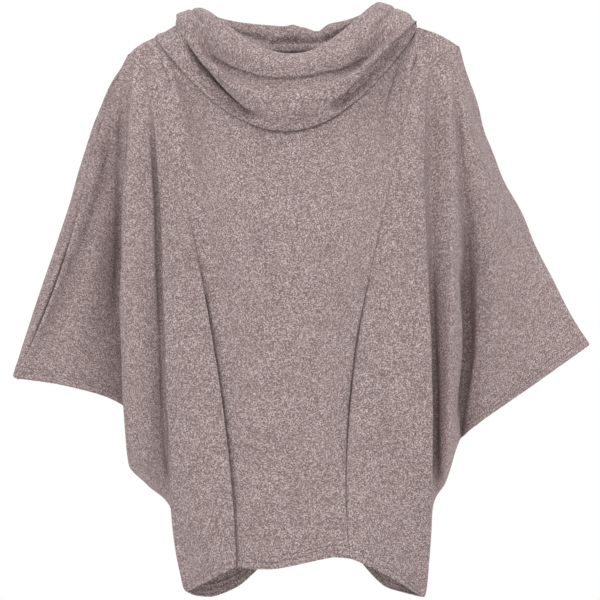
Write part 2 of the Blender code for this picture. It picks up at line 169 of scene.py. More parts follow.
CREASES: Tuple[Crease, ...] = (
    Crease("left tuck", Face.FRONT, -2.6, 3, 3, ((-206, 4), (-202, -11), (-198, -30))),
    Crease("sleeve slope", Face.FRONT, -3.0, 26, 4,
           ((-240, -70), (-243, -130), (-246, -202), (-250, -290), (-254, -360), (-256, -430))),
    Crease("left valley", Face.FRONT, -9.0, 4, 2.2,
           ((-198, -85), (-197, -110), (-193, -170), (-190, -213), (-188, -301), (-183, -400),
            (-182, -473), (-178, -524), (-173, -614))),
    Crease("left yoke", Face.FRONT, 9.0, 12, 12,
           ((-182, 4), (-170, -30), (-156, -66), (-142, -98), (-122, -140))),
    Crease("right yoke", Face.FRONT, 13.0, 17, 13,
           ((151, 8), (141, -25), (132, -54), (123, -85), (112, -125))),
    Crease("sleeve valley", Face.FRONT, -10.0, 6, 20,
           ((-252, -90), (-266, -180), (-287, -250), (-311, -310), (-337, -370), (-358, -430))),
    Crease("strip line", Face.FRONT, -4.0, 2.2, 2.2,
           ((-303, -205), (-313, -234), (-326, -274), (-339, -308), (-350, -342), (-360, -377))),
    Crease("strip top", Face.FRONT, -7.0, 3.0, 2.6,
           ((-240, -28), (-253, -50), (-259, -68), (-263, -90), (-268, -108), (-274, -132))),
    Crease("tube side", Face.FRONT, -9.0, 6, 3,
           ((-238, -60), (-240, -122), (-240, -202), (-242, -290), (-246, -360), (-247, -400))),
    Crease("right tuck", Face.FRONT, -3.0, 2.5, 2.5, ((169, 26), (163, 15), (159, 5), (157, -1))),
    Crease("right faint tuck", Face.FRONT, -1.2, 3, 3, ((163, -9), (159, -42))),
    Crease("right valley top", Face.FRONT, -3.5, 3, 9,
           ((186, 3), (181, -16), (177, -35), (174, -63), (173, -100), (170, -171), (173, -244),
            (173, -297))),
    Crease("right valley", Face.FRONT, -8.0, 2.5, 5,
           ((174, -270), (177, -367), (181, -473), (182, -602))),
    Crease("right outer valley", Face.FRONT, -3.0, 5, 4,
           ((209, -32), (211, -74), (215, -154), (219, -256), (223, -301))),
    Crease("right hollow", Face.FRONT, -9.0, 6, 7,
           ((219, -275), (223, -330), (226, -378), (225, -418), (219, -473), (211, -513))),
    Crease("right sleeve edge", Face.FRONT, 4.0, 2.5, 9,
           ((237, -290), (239, -325), (240, -379), (239, -409), (229, -473), (216, -529))),
    Crease("waist", Face.FRONT, -0.9, 6, 6, ((-130, -275), (-59, -279), (0, -277), (43, -275))),
    Crease("back left valley", Face.BACK, -3.5, 8, 4,
           ((-206, -30), (-192, -120), (-182, -250), (-176, -400), (-170, -540))),
    Crease("back right valley", Face.BACK, -3.5, 4, 9,
           ((186, -20), (176, -110), (168, -240), (170, -380), (175, -520))),
    Crease("back left drape", Face.BACK, -1.6, 8, 8, ((-96, -40), (-112, -120), (-118, -230))),
    Crease("back right drape", Face.BACK, -1.6, 8, 8, ((78, -30), (96, -130), (99, -260))),
    Crease("back waist", Face.BACK, -1.0, 9, 7, ((-90, -300), (-20, -310), (60, -298))),
    Crease("left roll edge", Face.ROLL, 4.0, 2.5, 9,
           ((-154, 17), (-145, 3), (-128, -20), (-111, -36), (-95, -49), (-82, -60), (-63, -72))),
    Crease("right roll edge", Face.ROLL, 5.0, 2.5, 9,
           ((33, -85), (56, -68), (77, -52), (89, -33), (96, -19), (104, -8), (110, -2),
            (121, 5), (133, 14))),
    Crease("left knot", Face.ROLL, -4.5, 2.2, 2.2,
           ((-149, 60), (-146, 55), (-141, 46), (-131, 36), (-129, 31), (-130, 22))),
    Crease("right fold", Face.ROLL, -5.0, 3, 2,
           ((132, 62), (122, 50), (112, 39), (104, 29), (98, 21), (92, 14))),
    Crease("right ridge", Face.ROLL, 2.5, 4, 4,
           ((18, -5), (36, 2), (60, 14), (85, 28), (105, 45), (122, 58))),
    Crease("roll groove", Face.ROLL, -6.0, 3.0, 1.4,
           ((-134, 0), (-124, -7), (-115, -14), (-95, -25), (-76, -32), (-57, -39), (-38, -41),
            (-18, -42), (7, -40), (31, -34), (54, -31), (76, -22), (94, -11), (104, -8))),
    Crease("right dimple", Face.ROLL, -3.5, 8, 5, ((46, -33), (58, -30), (70, -25), (84, -16))),
    Crease("left hollow", Face.BAND, -17.0, 7, 5,
           ((-153, 18), (-144, 4), (-128, -21), (-111, -38), (-94, -52), (-81, -63), (-62, -76))),
    Crease("right under", Face.BAND, -32.0, 12, 13,
           ((143, 14), (124, -7), (114, -20), (105, -32), (95, -44), (83, -58), (67, -71),
            (42, -86))),
    Crease("inner edge", Face.INSIDE, 2.5, 7, 1.2,
           ((-50, 8), (-35, 8), (-24, 9), (0, 8), (17, 9), (36, 9))),
    Crease("inner fold", Face.INSIDE, -4.0, 1.2, 5,
           ((-50, 11), (-35, 11), (-24, 12), (0, 11), (17, 12), (36, 12))),
    Crease("inner hollow left", Face.INSIDE, -5.0, 4, 7,
           ((-98, 34), (-90, 31), (-74, 24), (-59, 18), (-47, 16), (-40, 19))),
    Crease("inner hollow right", Face.INSIDE, -7.0, 4, 6,
           ((26, 13), (31, 14), (42, 16), (54, 22), (64, 29), (73, 39), (77, 44))),
    Crease("inner dent", Face.INSIDE, -4.0, 5, 6, ((-24, 15), (-13, 16), (-2, 15))),
    Crease("inner ridge", Face.INSIDE, 2.0, 4, 4, ((-50, 10), (-38, 16), (-30, 28))),
    Crease("inner rim hollow", Face.INSIDE, -5.0, 6, 8,
           ((-44, -2), (-20, -6), (8, -7), (24, -3))),
)


def smooth_curve(knots: Array, values: Array, places: Array) -> Array:
    """Cubic curve through values with no swing past any of them.

    The slope at a knot is the harmonic mean of the slopes beside it, or 0 at a turning point.

    Args:
        knots: Rising places of the values.
        values: Values whose last axis follows the knots.
        places: Where the curve is read.

    Returns:
        The curve's values, with places as the last axis.
    """
    gaps = np.diff(knots)
    slopes = np.diff(values, axis=-1) / gaps
    before, after = slopes[..., :-1], slopes[..., 1:]
    same_way = before * after > 0.0
    total = np.where(same_way, before + after, 1.0)
    inner = np.where(same_way, 2.0 * before * after / total, 0.0)
    tangents = np.concatenate([slopes[..., :1], inner, slopes[..., -1:]], axis=-1)
    span = np.clip(np.searchsorted(knots, places, side="right") - 1, 0, len(gaps) - 1)
    gap = gaps[span]
    t = (places - knots[span]) / gap
    start, end = values[..., span], values[..., span + 1]
    blend = t * t * (3.0 - 2.0 * t)
    return (start + (end - start) * blend
            + tangents[..., span] * gap * t * (1.0 - t) ** 2
            - tangents[..., span + 1] * gap * t * t * (1.0 - t))


def unit(vectors: Array) -> Array:
    """Vectors scaled to length 1."""
    return vectors / np.maximum(np.linalg.norm(vectors, axis=-1, keepdims=True), 1e-9)


def quarter_round(distance: Array, reach: float) -> Array:
    """Rises from 0 to 1 over the reach as a quarter of a circle does."""
    share = np.clip(distance / reach, 0.0, 1.0)
    return np.sqrt(1.0 - (1.0 - share) ** 2)


def soft_step(value: Array, low: float, high: float) -> Array:
    """Rises from 0 at low to 1 at high, level at both ends."""
    t = np.clip((value - low) / (high - low), 0.0, 1.0)
    return t * t * (3.0 - 2.0 * t)


def between(value: Array, start: float, full: float, last: float, end: float) -> Array:
    """Rises from 0 at start to 1 at full, and falls from there at last to 0 at end."""
    return soft_step(value, start, full) * (1.0 - soft_step(value, last, end))


def bell(distance: Array, height: float, width: Union[float, Array]) -> Array:
    """A bell over the distance, with its height at 0."""
    return height * np.exp(-(distance / width) ** 2)


def arc_lengths(points: Array, axis: int) -> Array:
    """Length along one axis of a grid of points, from 0 at its start.

    Args:
        points: The grid.
        axis: 0 down its columns, 1 along its rows.

    Returns:
        One length for each point.
    """
    steps = np.linalg.norm(np.diff(points, axis=axis), axis=-1)
    start = np.zeros_like(np.take(steps, [0], axis=axis))
    return np.concatenate([start, np.cumsum(steps, axis=axis)], axis=axis)


def grid_normals(grid: Array) -> Array:
    """Outward direction at each point of a grid that goes once round."""
    around = np.roll(grid, -1, axis=1) - np.roll(grid, 1, axis=1)
    return unit(np.cross(np.gradient(grid, axis=0), around))


def once_round(grid: Array) -> Array:
    """A grid with its first column again after its last."""
    return np.concatenate([grid, grid[:, :1]], axis=1)


def grid_faces(index: Array) -> Array:
    """Four point numbers for each cell of a grid of point numbers."""
    cells = [index[:-1, :-1], index[1:, :-1], index[1:, 1:], index[:-1, 1:]]
    return np.stack(cells, axis=-1).reshape(-1, 4)


def read_points(places: Array, knots: Array, points: Array,
                period: Optional[float] = None) -> Array:
    """Points at places between knots, on straight lines from one to the next."""
    parts = [np.interp(places, knots, points[:, axis], period=period) for axis in range(3)]
    return np.stack(parts, axis=-1)


def path_distance(across: Array, height: Array, path: Path) -> Tuple[Array, Array]:
    """Signed distance of places from a path in the plane of the picture.

    Each stretch of the path gives the distance to its nearest point; the least one counts.

    Args:
        across: x of the places.
        height: z of the places.
        path: (x, z) of the path's points.

    Returns:
        The distance, above 0 at the right of a path drawn downwards, and the share of the
        path's length at which it is least.
    """
    points = np.array(path, dtype=float)
    lengths = np.linalg.norm(np.diff(points, axis=0), axis=1)
    reached = np.concatenate([[0.0], np.cumsum(lengths)])
    nearest = np.full(across.shape, np.inf)
    signed = np.zeros(across.shape)
    share = np.zeros(across.shape)
    for number, length in enumerate(lengths):
        start, way = points[number], (points[number + 1] - points[number]) / length
        off_x, off_z = across - start[0], height - start[1]
        along = np.clip(off_x * way[0] + off_z * way[1], 0.0, length)
        distance = np.hypot(off_x - way[0] * along, off_z - way[1] * along)
        closer = distance < nearest
        nearest = np.where(closer, distance, nearest)
        side = np.where(off_z * way[0] - off_x * way[1] < 0.0, -1.0, 1.0)
        signed = np.where(closer, distance * side, signed)
        share = np.where(closer, (reached[number] + along) / reached[-1], share)
    return signed, share


@dataclass(frozen=True)
class Neckline:
    """The neckline seam, an oval that dips at the front."""

    centre: float = -18.0
    half_width: float = 176.0
    front: float = 100.0
    back: float = 83.0
    middle: float = -5.0

    @staticmethod
    def waves(angles: Array) -> Array:
        """The waves whose sum gives a ring's height, as many as it has known heights.

        Args:
            angles: Angles in degrees.

        Returns:
            A level, cosines of 1 to 4 waves round the ring and sines of 1 to 3.
        """
        turn = np.radians(np.asarray(angles, dtype=float))
        parts = [np.cos(turn * number) for number in range(5)]
        parts += [np.sin(turn * number) for number in range(1, 4)]
        return np.stack(parts, axis=-1)

    def ring(self, shape: Sequence[float], angles: Array) -> Array:
        """Points of an oval ring; angle 0 is its front and 90 its side at +X.

        Args:
            shape: Centre across, half width, front depth, back depth and eight heights.
            angles: Angles in degrees.

        Returns:
            One point for each angle.
        """
        centre, half_width, front, back = shape[:4]
        known = self.waves(np.arange(0.0, 360.0, 45.0))
        weights = np.linalg.solve(known, np.array(shape[4:], dtype=float))
        turn = np.radians(angles)
        depth = np.where(np.cos(turn) > 0.0, front, back)
        return np.stack([centre + half_width * np.sin(turn), self.middle - depth * np.cos(turn),
                         self.waves(angles) @ weights], axis=-1)

    def points(self, angles: Array) -> Array:
        """Points of the neckline seam at angles in degrees."""
        return self.ring((self.centre, self.half_width, self.front, self.back,
                          *NECKLINE_HEIGHTS), angles)


class SleeveTop(NamedTuple):
    """The top of one sleeve: its tip at (x, z), a swell, and bells that trim its outline.

    Each trim is a height, a reach and a move to the right.
    """

    tip: Tuple[float, float]
    fullness: float
    trims: Tuple[Tuple[float, float, float], ...]


SLEEVE_TOPS: Dict[str, SleeveTop] = {
    "left": SleeveTop((-233.0, -6.0), -12.0, ((-45, 22, -4.0), (-128, 40, 5.2))),
    "right": SleeveTop((216.0, 5.0), 11.0,
                       ((-108, 30, -6.0), (-218, 38, 6.0), (-350, 45, -4.0))),
}


@dataclass(frozen=True)
class DrapedForm:
    """The cloth of body and sleeves as one loop of fold lines, sampled finely."""

    neck: Neckline = Neckline()
    arm_forward: float = 0.1
    arm_start: float = 180.0
    back_depth: float = 0.88
    back_pull: float = 0.05
    shoulder_round: float = 140.0
    shoulder_slope: float = 1.5
    shoulder_arch: float = 4.0
    underarm_round: float = 60.0
    fullness_reach: float = 0.5
    fullness_depth: float = 60.0
    neck_pull: float = 4.0
    end_pull: float = 8.0
    row_counts: Tuple[int, int, int] = (20, 86, 18)
    row_shares: Tuple[float, float] = (0.12, 0.965)
    seam_lines: Tuple[int, ...] = (1, 9, 17, 27)
    seam_cells: Tuple[float, ...] = (0.03, 0.07, 0.12)

    @property
    def loop(self) -> List[Tuple[FoldLine, int]]:
        """Fold lines once round: the front from left to right, then the back."""
        return ([(line, -1) for line in FOLD_LINES]
                + [(line, 1) for line in FOLD_LINES[-2:0:-1]])

    def middle_plane(self, x: Array) -> Array:
        """Depth of the plane between front and back; it comes forward along the arms."""
        return self.neck.middle - self.arm_forward * np.maximum(0.0, np.abs(x) - self.arm_start)

    def columns(self) -> Tuple[Array, Array]:
        """Places of the grid's columns round the loop, finer beside a seam.

        Returns:
            The places, where 1 is the way from one fold line to the next, and the column
            of each fold line.
        """
        places = []
        marks = [0]
        for number, line in enumerate(FOLD_LINES[:-1]):
            share = np.arange(line.cells) / line.cells
            if number in self.seam_lines:
                share = np.union1d(share, self.seam_cells)
            if number + 1 in self.seam_lines:
                share = np.union1d(share, 1.0 - np.array(self.seam_cells))
            places.append(number + share)
            marks.append(marks[-1] + len(share))
        front = np.concatenate(places + [[float(len(FOLD_LINES) - 1)]])
        back = (float(len(self.loop)) - front[1:-1])[::-1]
        total = len(front) + len(back)
        back_marks = [total - mark for mark in marks[-2:0:-1]]
        return np.concatenate([front, back]), np.array(marks + back_marks)

    def rows(self) -> Array:
        """Shares down a fold line: close together at the shoulder and at the hem.

        Returns:
            The shares, from 0 to 1.
        """
        top_rows, body_rows, hem_rows = self.row_counts
        top_share, hem_share = self.row_shares
        return np.concatenate([top_share * (np.arange(top_rows) / (top_rows - 1.0)) ** 2,
                               np.linspace(top_share, hem_share, body_rows)[1:],
                               np.linspace(hem_share, 1.0, hem_rows)[1:]])

    def start_point(self, line: FoldLine, facing: int) -> Array:
        """Top of a fold line: on the neckline, or on a shoulder seam that arches a little.

        Args:
            line: The fold.
            facing: -1 on the front, 1 on the back.

        Returns:
            The point.
        """
        if line.side not in SLEEVE_TOPS:
            angle = line.start if facing < 0 else 180.0 - line.start
            return self.neck.points(np.array([float(angle)]))[0]
        neck = self.neck.points(np.array([-90.0 if line.side == "left" else 90.0]))[0]
        tip_x, tip_z = SLEEVE_TOPS[line.side].tip
        tip = np.array([tip_x, float(self.middle_plane(np.array(tip_x))), tip_z])
        arch = np.array([0.0, 0.0, self.shoulder_arch * math.sin(math.pi * line.start)])
        return neck + (tip - neck) * line.start + arch

    def fold_points(self, line: FoldLine, facing: int, down: Array) -> Array:
        """Points of one fold line.

        Across: the cubic through its four places, and for a sleeve a swell at the top and
        small bells that trim its outline.
        Height: even steps from top to end.  Depth: a smooth curve through its four depths,
        times a quarter round from the shoulder, and times another at a closed end.

        Args:
            line: The fold.
            facing: -1 on the front, 1 on the back.
            down: Shares from its top to its end.

        Returns:
            Points with their depth measured from the middle plane.
        """
        top = self.start_point(line, facing)
        levels = np.array([0.0, 1.0 / 3.0, 2.0 / 3.0, 1.0])
        x = np.polynomial.polynomial.Polynomial.fit(
            levels, [top[0], line.x_chest, line.x_waist, line.x_end], 3)(down)
        z = top[2] + ((line.z_end if facing < 0 else line.z_back) - top[2]) * down
        depths = np.array([line.d_top, line.d_chest, line.d_waist, line.d_end], dtype=float)
        depth = smooth_curve(levels, depths, down)
        if facing > 0:
            depth = depth * self.back_depth
            at_arm = min(1.0, line.d_top / self.fullness_depth)
            x = x * (1.0 - self.back_pull * at_arm * np.sin(math.pi * down))
        if line.side in SLEEVE_TOPS:
            sleeve = SLEEVE_TOPS[line.side]
            share = max(0.0, 1.0 - line.d_top / self.fullness_depth)
            swell = np.sin(math.pi * np.clip(down / self.fullness_reach, 0.0, 1.0)) ** 2
            x = x + sleeve.fullness * share * swell
            for height, reach, move in sleeve.trims:
                x = x + bell(z - height, share * move, reach)
        start = top[1] - float(self.middle_plane(np.array(top[0])))
        turned = quarter_round(top[2] - z, self.shoulder_round) ** self.shoulder_slope
        offset = start + (facing * depth - start) * turned
        if line.closed:
            closing = self.underarm_round if line.d_end > 0 else 1.0
            offset = offset * quarter_round(z - z[-1], closing)
        return np.stack([x, offset, z], axis=-1)

    def neckline_angles(self, places: Array) -> Array:
        """Angle on the neckline of each column, or nan where it starts on a shoulder.

        Args:
            places: The columns' places round the loop.

        Returns:
            Angles in degrees, evenly spread from one fold line to the next.
        """
        known = np.array([self.neckline_angle(*entry) for entry in self.loop])
        number = places.astype(int)
        share = places - number
        first = known[number]
        last = known[(number + 1) % len(known)]
        return np.where(share == 0.0, first, first + (last - first) * share)

    @staticmethod
    def neckline_angle(line: FoldLine, facing: int) -> float:
        """Angle of a fold line's start on the neckline, or nan if it is on a shoulder.

        Args:
            line: The fold.
            facing: -1 on the front, 1 on the back.

        Returns:
            The angle in degrees.
        """
        if line.side not in SLEEVE_TOPS:
            return float(line.start) if facing < 0 else 180.0 - line.start
        if line.name != "neck":
            return math.nan
        if line.side == "right":
            return 90.0
        return -90.0 if facing < 0 else 270.0

    def grid(self) -> Tuple[Array, Array, Array]:
        """The whole cloth as rows of points round the garment.

        Rows are smooth curves through the fold lines.  The top row is moved onto the
        neckline, and front and back get the same points where they share a seam.

        Returns:
            The points, the column of each fold line, and the columns' neckline angles.
        """
        down = self.rows()
        places, marks = self.columns()
        lines = np.stack([self.fold_points(line, facing, down) for line, facing in self.loop])
        wrap = 3
        wrapped = np.concatenate([lines[-wrap:], lines, lines[:wrap + 1]])
        knots = np.arange(-wrap, len(lines) + wrap + 1, dtype=float)
        grid = smooth_curve(knots, wrapped.transpose(1, 2, 0), places).transpose(0, 2, 1)
        angles = self.neckline_angles(places)
        on_neck = np.flatnonzero(~np.isnan(angles))
        target = self.neck.points(angles[on_neck])
        target[:, 1] -= self.middle_plane(target[:, 0])
        fade = np.clip(1.0 - self.neck_pull * down, 0.0, 1.0) ** 2
        grid[:, on_neck] += fade[:, None, None] * (target - grid[0, on_neck])
        fade = np.clip(1.0 - self.end_pull * (1.0 - down), 0.0, 1.0) ** 2
        for front, back in self.closed_columns(marks):
            shared = 0.5 * (grid[-1, front] + grid[-1, back])
            shared[:, 1] = 0.0
            for side in (front, back):
                grid[:, side] += fade[:, None, None] * (shared - grid[-1, side])
        grid[..., 1] += self.middle_plane(grid[..., 0])
        return grid, marks, angles

    def closed_columns(self, marks: Array) -> List[Tuple[Array, Array]]:
        """Columns of front and back that end on the same side or underarm seam.

        Args:
            marks: The column of each fold line.

        Returns:
            The columns of the left side and of the right side.
        """
        closed = [number for number, line in enumerate(FOLD_LINES) if line.closed]
        left = [number for number in closed if number < self.seam_lines[1]]
        right = [number for number in closed if number > self.seam_lines[2]]
        return [self.paired(marks, side[0], side[-1]) for side in (left, right)]

    def shoulder_columns(self, marks: Array) -> List[Tuple[Array, Array]]:
        """Columns of front and back that start on the same shoulder seam."""
        left, right = [number for number, line in enumerate(FOLD_LINES) if line.name == "neck"]
        return [self.paired(marks, 0, left), self.paired(marks, right, len(FOLD_LINES) - 1)]

    @staticmethod
    def paired(marks: Array, first: int, last: int) -> Tuple[Array, Array]:
        """Columns from one fold line to another on the front, and those behind them.

        Args:
            marks: The column of each fold line.
            first: Number of the first fold line.
            last: Number of the last one.

        Returns:
            The columns on the front and on the back.
        """
        total = 2 * marks[len(FOLD_LINES) - 1]
        front = np.arange(marks[first], marks[last] + 1)
        return front, (total - front) % total


@dataclass(frozen=True)
class SeamFold:
    """How the cloth lies beside a seam that runs down, at heights from the top.

    dip is the depth of the seam itself.  before and after are moves of the cloth on each
    side of it, and lap_before and lap_after slide a side over the seam.
    """

    line: int
    heights: Tuple[float, ...]
    dip: Tuple[float, ...]
    before: Tuple[float, ...]
    after: Tuple[float, ...]
    lap_before: float = 0.0
    lap_after: float = 0.0
    lap_heights: Tuple[float, float] = (-280.0, -340.0)
    lap_rise: float = 1.2
    lap_spread: float = 12.0
    dip_width: float = 1.7
    spread_before: float = 14.0
    spread_after: float = 14.0

    def offsets(self, grid: Array, column: int) -> Tuple[Array, Array]:
        """Moves of the cloth beside the seam.

        The dip is a bell in the distance from the seam, and the sides' moves fade out over
        the spread.  A lap rises from 0 at the seam and fades over its own spread.

        Args:
            grid: Points of the cloth.
            column: The seam's column.

        Returns:
            One outward move and one sideways move for each point.
        """
        reached = arc_lengths(once_round(grid), 1)
        whole = reached[:, -1:]
        signed = reached[:, :-1] - reached[:, column:column + 1]
        signed = np.mod(signed + 0.5 * whole, whole) - 0.5 * whole
        distance = np.abs(signed)
        height = grid[:, column, 2][:, None]
        dip, before, after = (np.interp(height, self.heights[::-1], values[::-1])
                              for values in (self.dip, self.before, self.after))
        spread = np.where(signed < 0.0, self.spread_before, self.spread_after)
        sides = np.where(signed < 0.0, before, after) * np.exp(-(distance / spread) ** 1.5)
        out = sides - bell(distance, dip, self.dip_width)
        lap = np.where(signed < 0.0, self.lap_before, -self.lap_after)
        reach = (1.0 - bell(distance, 1.0, self.lap_rise)) * bell(distance, 1.0, self.lap_spread)
        start, full = self.lap_heights
        return out, lap * reach * (1.0 - soft_step(height, full, start))


SEAM_FOLDS: Tuple[SeamFold, ...] = (
    SeamFold(1, (0, -40, -110, -430), (0.8, 2.2, 2.4, 1.6), (0.0, -3.5, -5.0, -4.0),
             (0.0, 5.0, 9.0, 8.0), spread_before=5.0, spread_after=9.0, dip_width=1.7),
    SeamFold(9, (0, -130, -240, -300, -600, -700), (0.3, 0.3, 0.5, 1.4, 1.2, 1.0),
             (0.0, 0.2, 0.6, 1.8, 1.6, 1.0), (0.0, 0.0, -0.8, -5.0, -5.5, -2.0),
             lap_before=3.0, spread_before=10.0, spread_after=13.0),
    SeamFold(17, (10, -130, -300, -400, -470, -540, -690), (0.5, 0.4, 0.8, 3.4, 3.4, 1.6, 0.8),
             (0.0, 0.0, -0.8, -4.5, -4.5, -2.5, 0.0), (0.0, 0.0, 0.4, 1.6, 1.6, 0.8, 0.4),
             lap_after=3.0, lap_heights=(-330.0, -400.0), spread_before=11.0),
    SeamFold(27, (0, -40, -140, -390), (0.8, 1.6, 1.6, 1.0), (0.0, 0.6, 0.8, 0.8),
             (0.0, -0.8, -1.2, -1.2), spread_before=7.0, spread_after=7.0),
)


@dataclass(frozen=True)
class HemFold:
    """A hem turned up once and held by two rows of stitches."""

    allowance: float = 18.0
    stitch_rows: Tuple[float, ...] = (8.6, 16.0)
    channel_depth: float = 0.45
    channel_width: float = 1.2
    swell: float = 0.35
    swell_step: float = 1.0
    layer: float = 0.6
    layer_step: float = 0.6
    roll_depth: float = 0.5
    roll_width: float = 1.5

    def offsets(self, from_edge: Array) -> Array:
        """Outward moves of the cloth by its distance from the edge.

        The doubled cloth stands out a little, sinks under each row of stitches and rounds
        off at the fold.

        Args:
            from_edge: Distances from the edge.

        Returns:
            One move for each distance.
        """
        moves = self.swell * self.doubling(from_edge, self.swell_step)
        for row in self.stitch_rows:
            moves = moves - bell(from_edge - row, self.channel_depth, self.channel_width)
        return moves - self.roll_depth * np.exp(-from_edge / self.roll_width)

    def doubling(self, from_edge: Array, step: float) -> Array:
        """Share of the second layer of cloth, which ends within a step of the allowance."""
        return 1.0 - soft_step(from_edge, self.allowance - step, self.allowance + step)


class Ripple(NamedTuple):
    """A long wave: its height, the lengths that turn it by one radian, and its start."""

    height: float
    x: float
    y: float
    z: float
    start: float


RIPPLES: Tuple[Ripple, ...] = (
    Ripple(0.5, 31.0, math.inf, 83.0, 0.6),
    Ripple(0.4, 17.0, 23.0, -61.0, 2.1),
    Ripple(0.25, 11.0, math.inf, 37.0, 4.0),
    Ripple(0.2, -43.0, math.inf, 19.0, 1.2),
)


@dataclass(frozen=True)
class SmallForms:
    """Moves of the cloth along its outward direction: creases and a slight unevenness."""

    rebound: float = 0.25
    rebound_width: float = 1.2
    swelling: Tuple[float, float, float, float] = (-0.02, 0.18, 0.8, 1.02)

    def creases(self, grid: Array, faces: Dict[Face, Array]) -> Array:
        """Outward moves of all the creases together.

        Across a crease the move is a bell, less a wider and lower one, so the cloth beside a
        trough rises a little.  Along it the move swells from both ends.

        Args:
            grid: Points of the cloth.
            faces: For each face of the cloth the share to which a place belongs to it.

        Returns:
            One move for each point.
        """
        moves = np.zeros(grid.shape[:2])
        for crease in CREASES:
            if crease.face not in faces:
                continue
            signed, share = path_distance(grid[..., 0], grid[..., 2], crease.path)
            reach = np.where(signed < 0.0, crease.left, crease.right)
            wide = self.rebound_width * (crease.left + crease.right)
            across = bell(signed, crease.depth, reach)
            across = across - bell(signed, self.rebound * crease.depth, wide)
            moves += across * between(share, *self.swelling) * faces[crease.face]
        return moves

    @staticmethod
    def ripples(grid: Array) -> Array:
        """Outward moves of the ripples together, each a sine of the place.

        Args:
            grid: Points of the cloth.

        Returns:
            One move for each point.
        """
        moves = np.zeros(grid.shape[:2])
        for ripple in RIPPLES:
            turn = (grid[..., 0] / ripple.x + grid[..., 1] / ripple.y + grid[..., 2] / ripple.z)
            moves += ripple.height * np.sin(turn + ripple.start)
        return moves


@dataclass
class ClothMesh:
    """A thin closed shell between an outer and an inner grid of points, in rows.

    cloth_map is the place of each point on the flat cloth, and around is that cloth's
    length once round, or 0 if the rows don't go round.  All are in millimetres.
    """

    name: str
    outer: Array
    inner: Array
    cloth_map: Array
    around: float = 0.0
    edge_round: float = 0.4

    def area(self) -> float:
        """Area of the outer face, from the two halves of each cell.

        Returns:
            The area in square metres.
        """
        grid = once_round(self.outer) if self.around else self.outer
        first = np.cross(grid[1:, :-1] - grid[:-1, :-1], grid[:-1, 1:] - grid[:-1, :-1])
        second = np.cross(grid[1:, 1:] - grid[1:, :-1], grid[1:, 1:] - grid[:-1, 1:])
        doubled = np.linalg.norm(first, axis=-1) + np.linalg.norm(second, axis=-1)
        return float(doubled.sum()) * 0.5 * METRES * METRES

    def borders(self, index: Array) -> List[Array]:
        """Loops of point numbers at the open edges, each ending where it starts.

        Args:
            index: The points' numbers, in rows.

        Returns:
            Top and bottom loops if the rows go round, or else one loop.
        """
        if self.around:
            return [np.append(index[0][::-1], index[0][-1]), np.append(index[-1], index[-1][0])]
        loop = np.concatenate([index[0][::-1], index[1:, 0], index[-1, 1:], index[-2:0:-1, -1]])
        return [np.append(loop, loop[0])]

    def edge_bulge(self) -> Array:
        """Direction away from the cloth along its open edges, for a rounded edge.

        Returns:
            One direction for each outer point, 0 away from the edges.
        """
        away = np.zeros_like(self.outer)
        away[0] += unit(self.outer[0] - self.outer[1])
        away[-1] += unit(self.outer[-1] - self.outer[-2])
        if not self.around:
            away[:, 0] += unit(self.outer[:, 0] - self.outer[:, 1])
            away[:, -1] += unit(self.outer[:, -1] - self.outer[:, -2])
        return away.reshape(-1, 3)

    def build(self) -> bpy.types.Object:
        """Makes the mesh: outer face, inner face and a rounded strip along each edge.

        Returns:
            The object.
        """
        index = np.arange(self.outer[..., 0].size).reshape(self.outer.shape[:2])
        face = grid_faces(once_round(index) if self.around else index)
        outer, inner = self.outer.reshape(-1, 3), self.inner.reshape(-1, 3)
        flat = self.cloth_map.reshape(-1, 2)
        points, places, faces = [outer, inner], [flat, flat], [face, face[:, ::-1] + index.size]
        bulge = self.edge_bulge()
        for loop in self.borders(index):
            ring = loop[:-1]
            wall = np.linalg.norm(outer[ring] - inner[ring], axis=-1, keepdims=True)
            middle = np.append(np.arange(len(ring)), 0) + sum(len(part) for part in points)
            points.append(0.5 * (outer[ring] + inner[ring])
                          + unit(bulge[ring]) * self.edge_round * wall)
            places.append(flat[ring])
            faces.append(grid_faces(np.stack([loop, middle, loop + index.size])))
        piece = make_mesh(self.name, np.concatenate(points), np.concatenate(faces),
                          np.concatenate(places), self.around)
        LOG.info("%s: %.4f square metres, %d faces", self.name, self.area(),
                 len(piece.data.polygons))
        return piece


def make_mesh(name: str, points: Array, faces: Array, flat: Optional[Array] = None,
              around: float = 0.0) -> bpy.types.Object:
    """Puts arrays into a smooth-shaded mesh object.

    Args:
        name: The object's name.
        points: Points in millimetres.
        faces: Four point numbers for each face.
        flat: Place of each point on the flat cloth in millimetres, if there is one.
        around: Length of that cloth once round, if it goes round.

    Returns:
        The object, linked into the scene.
    """
    mesh = bpy.data.meshes.new(name)
    mesh.vertices.add(len(points))
    mesh.vertices.foreach_set("co", (points * METRES).ravel())
    mesh.loops.add(faces.size)
    mesh.loops.foreach_set("vertex_index", faces.ravel())
    mesh.polygons.add(len(faces))
    mesh.polygons.foreach_set("loop_start", np.arange(0, faces.size, 4))
    mesh.polygons.foreach_set("use_smooth", np.ones(len(faces), dtype=bool))
    mesh.update(calc_edges=True)
    mesh.validate()
    if flat is not None:
        layer = mesh.uv_layers.new(name="cloth")
        corners = flat[faces]
        if around > 0.0:
            far = corners[..., 0].max(axis=1, keepdims=True) - corners[..., 0] > 0.5 * around
            corners[..., 0] += np.where(far, around, 0.0)
        layer.data.foreach_set("uv", (corners * METRES).ravel())
    piece = bpy.data.objects.new(name, mesh)
    bpy.context.scene.collection.objects.link(piece)
    return piece


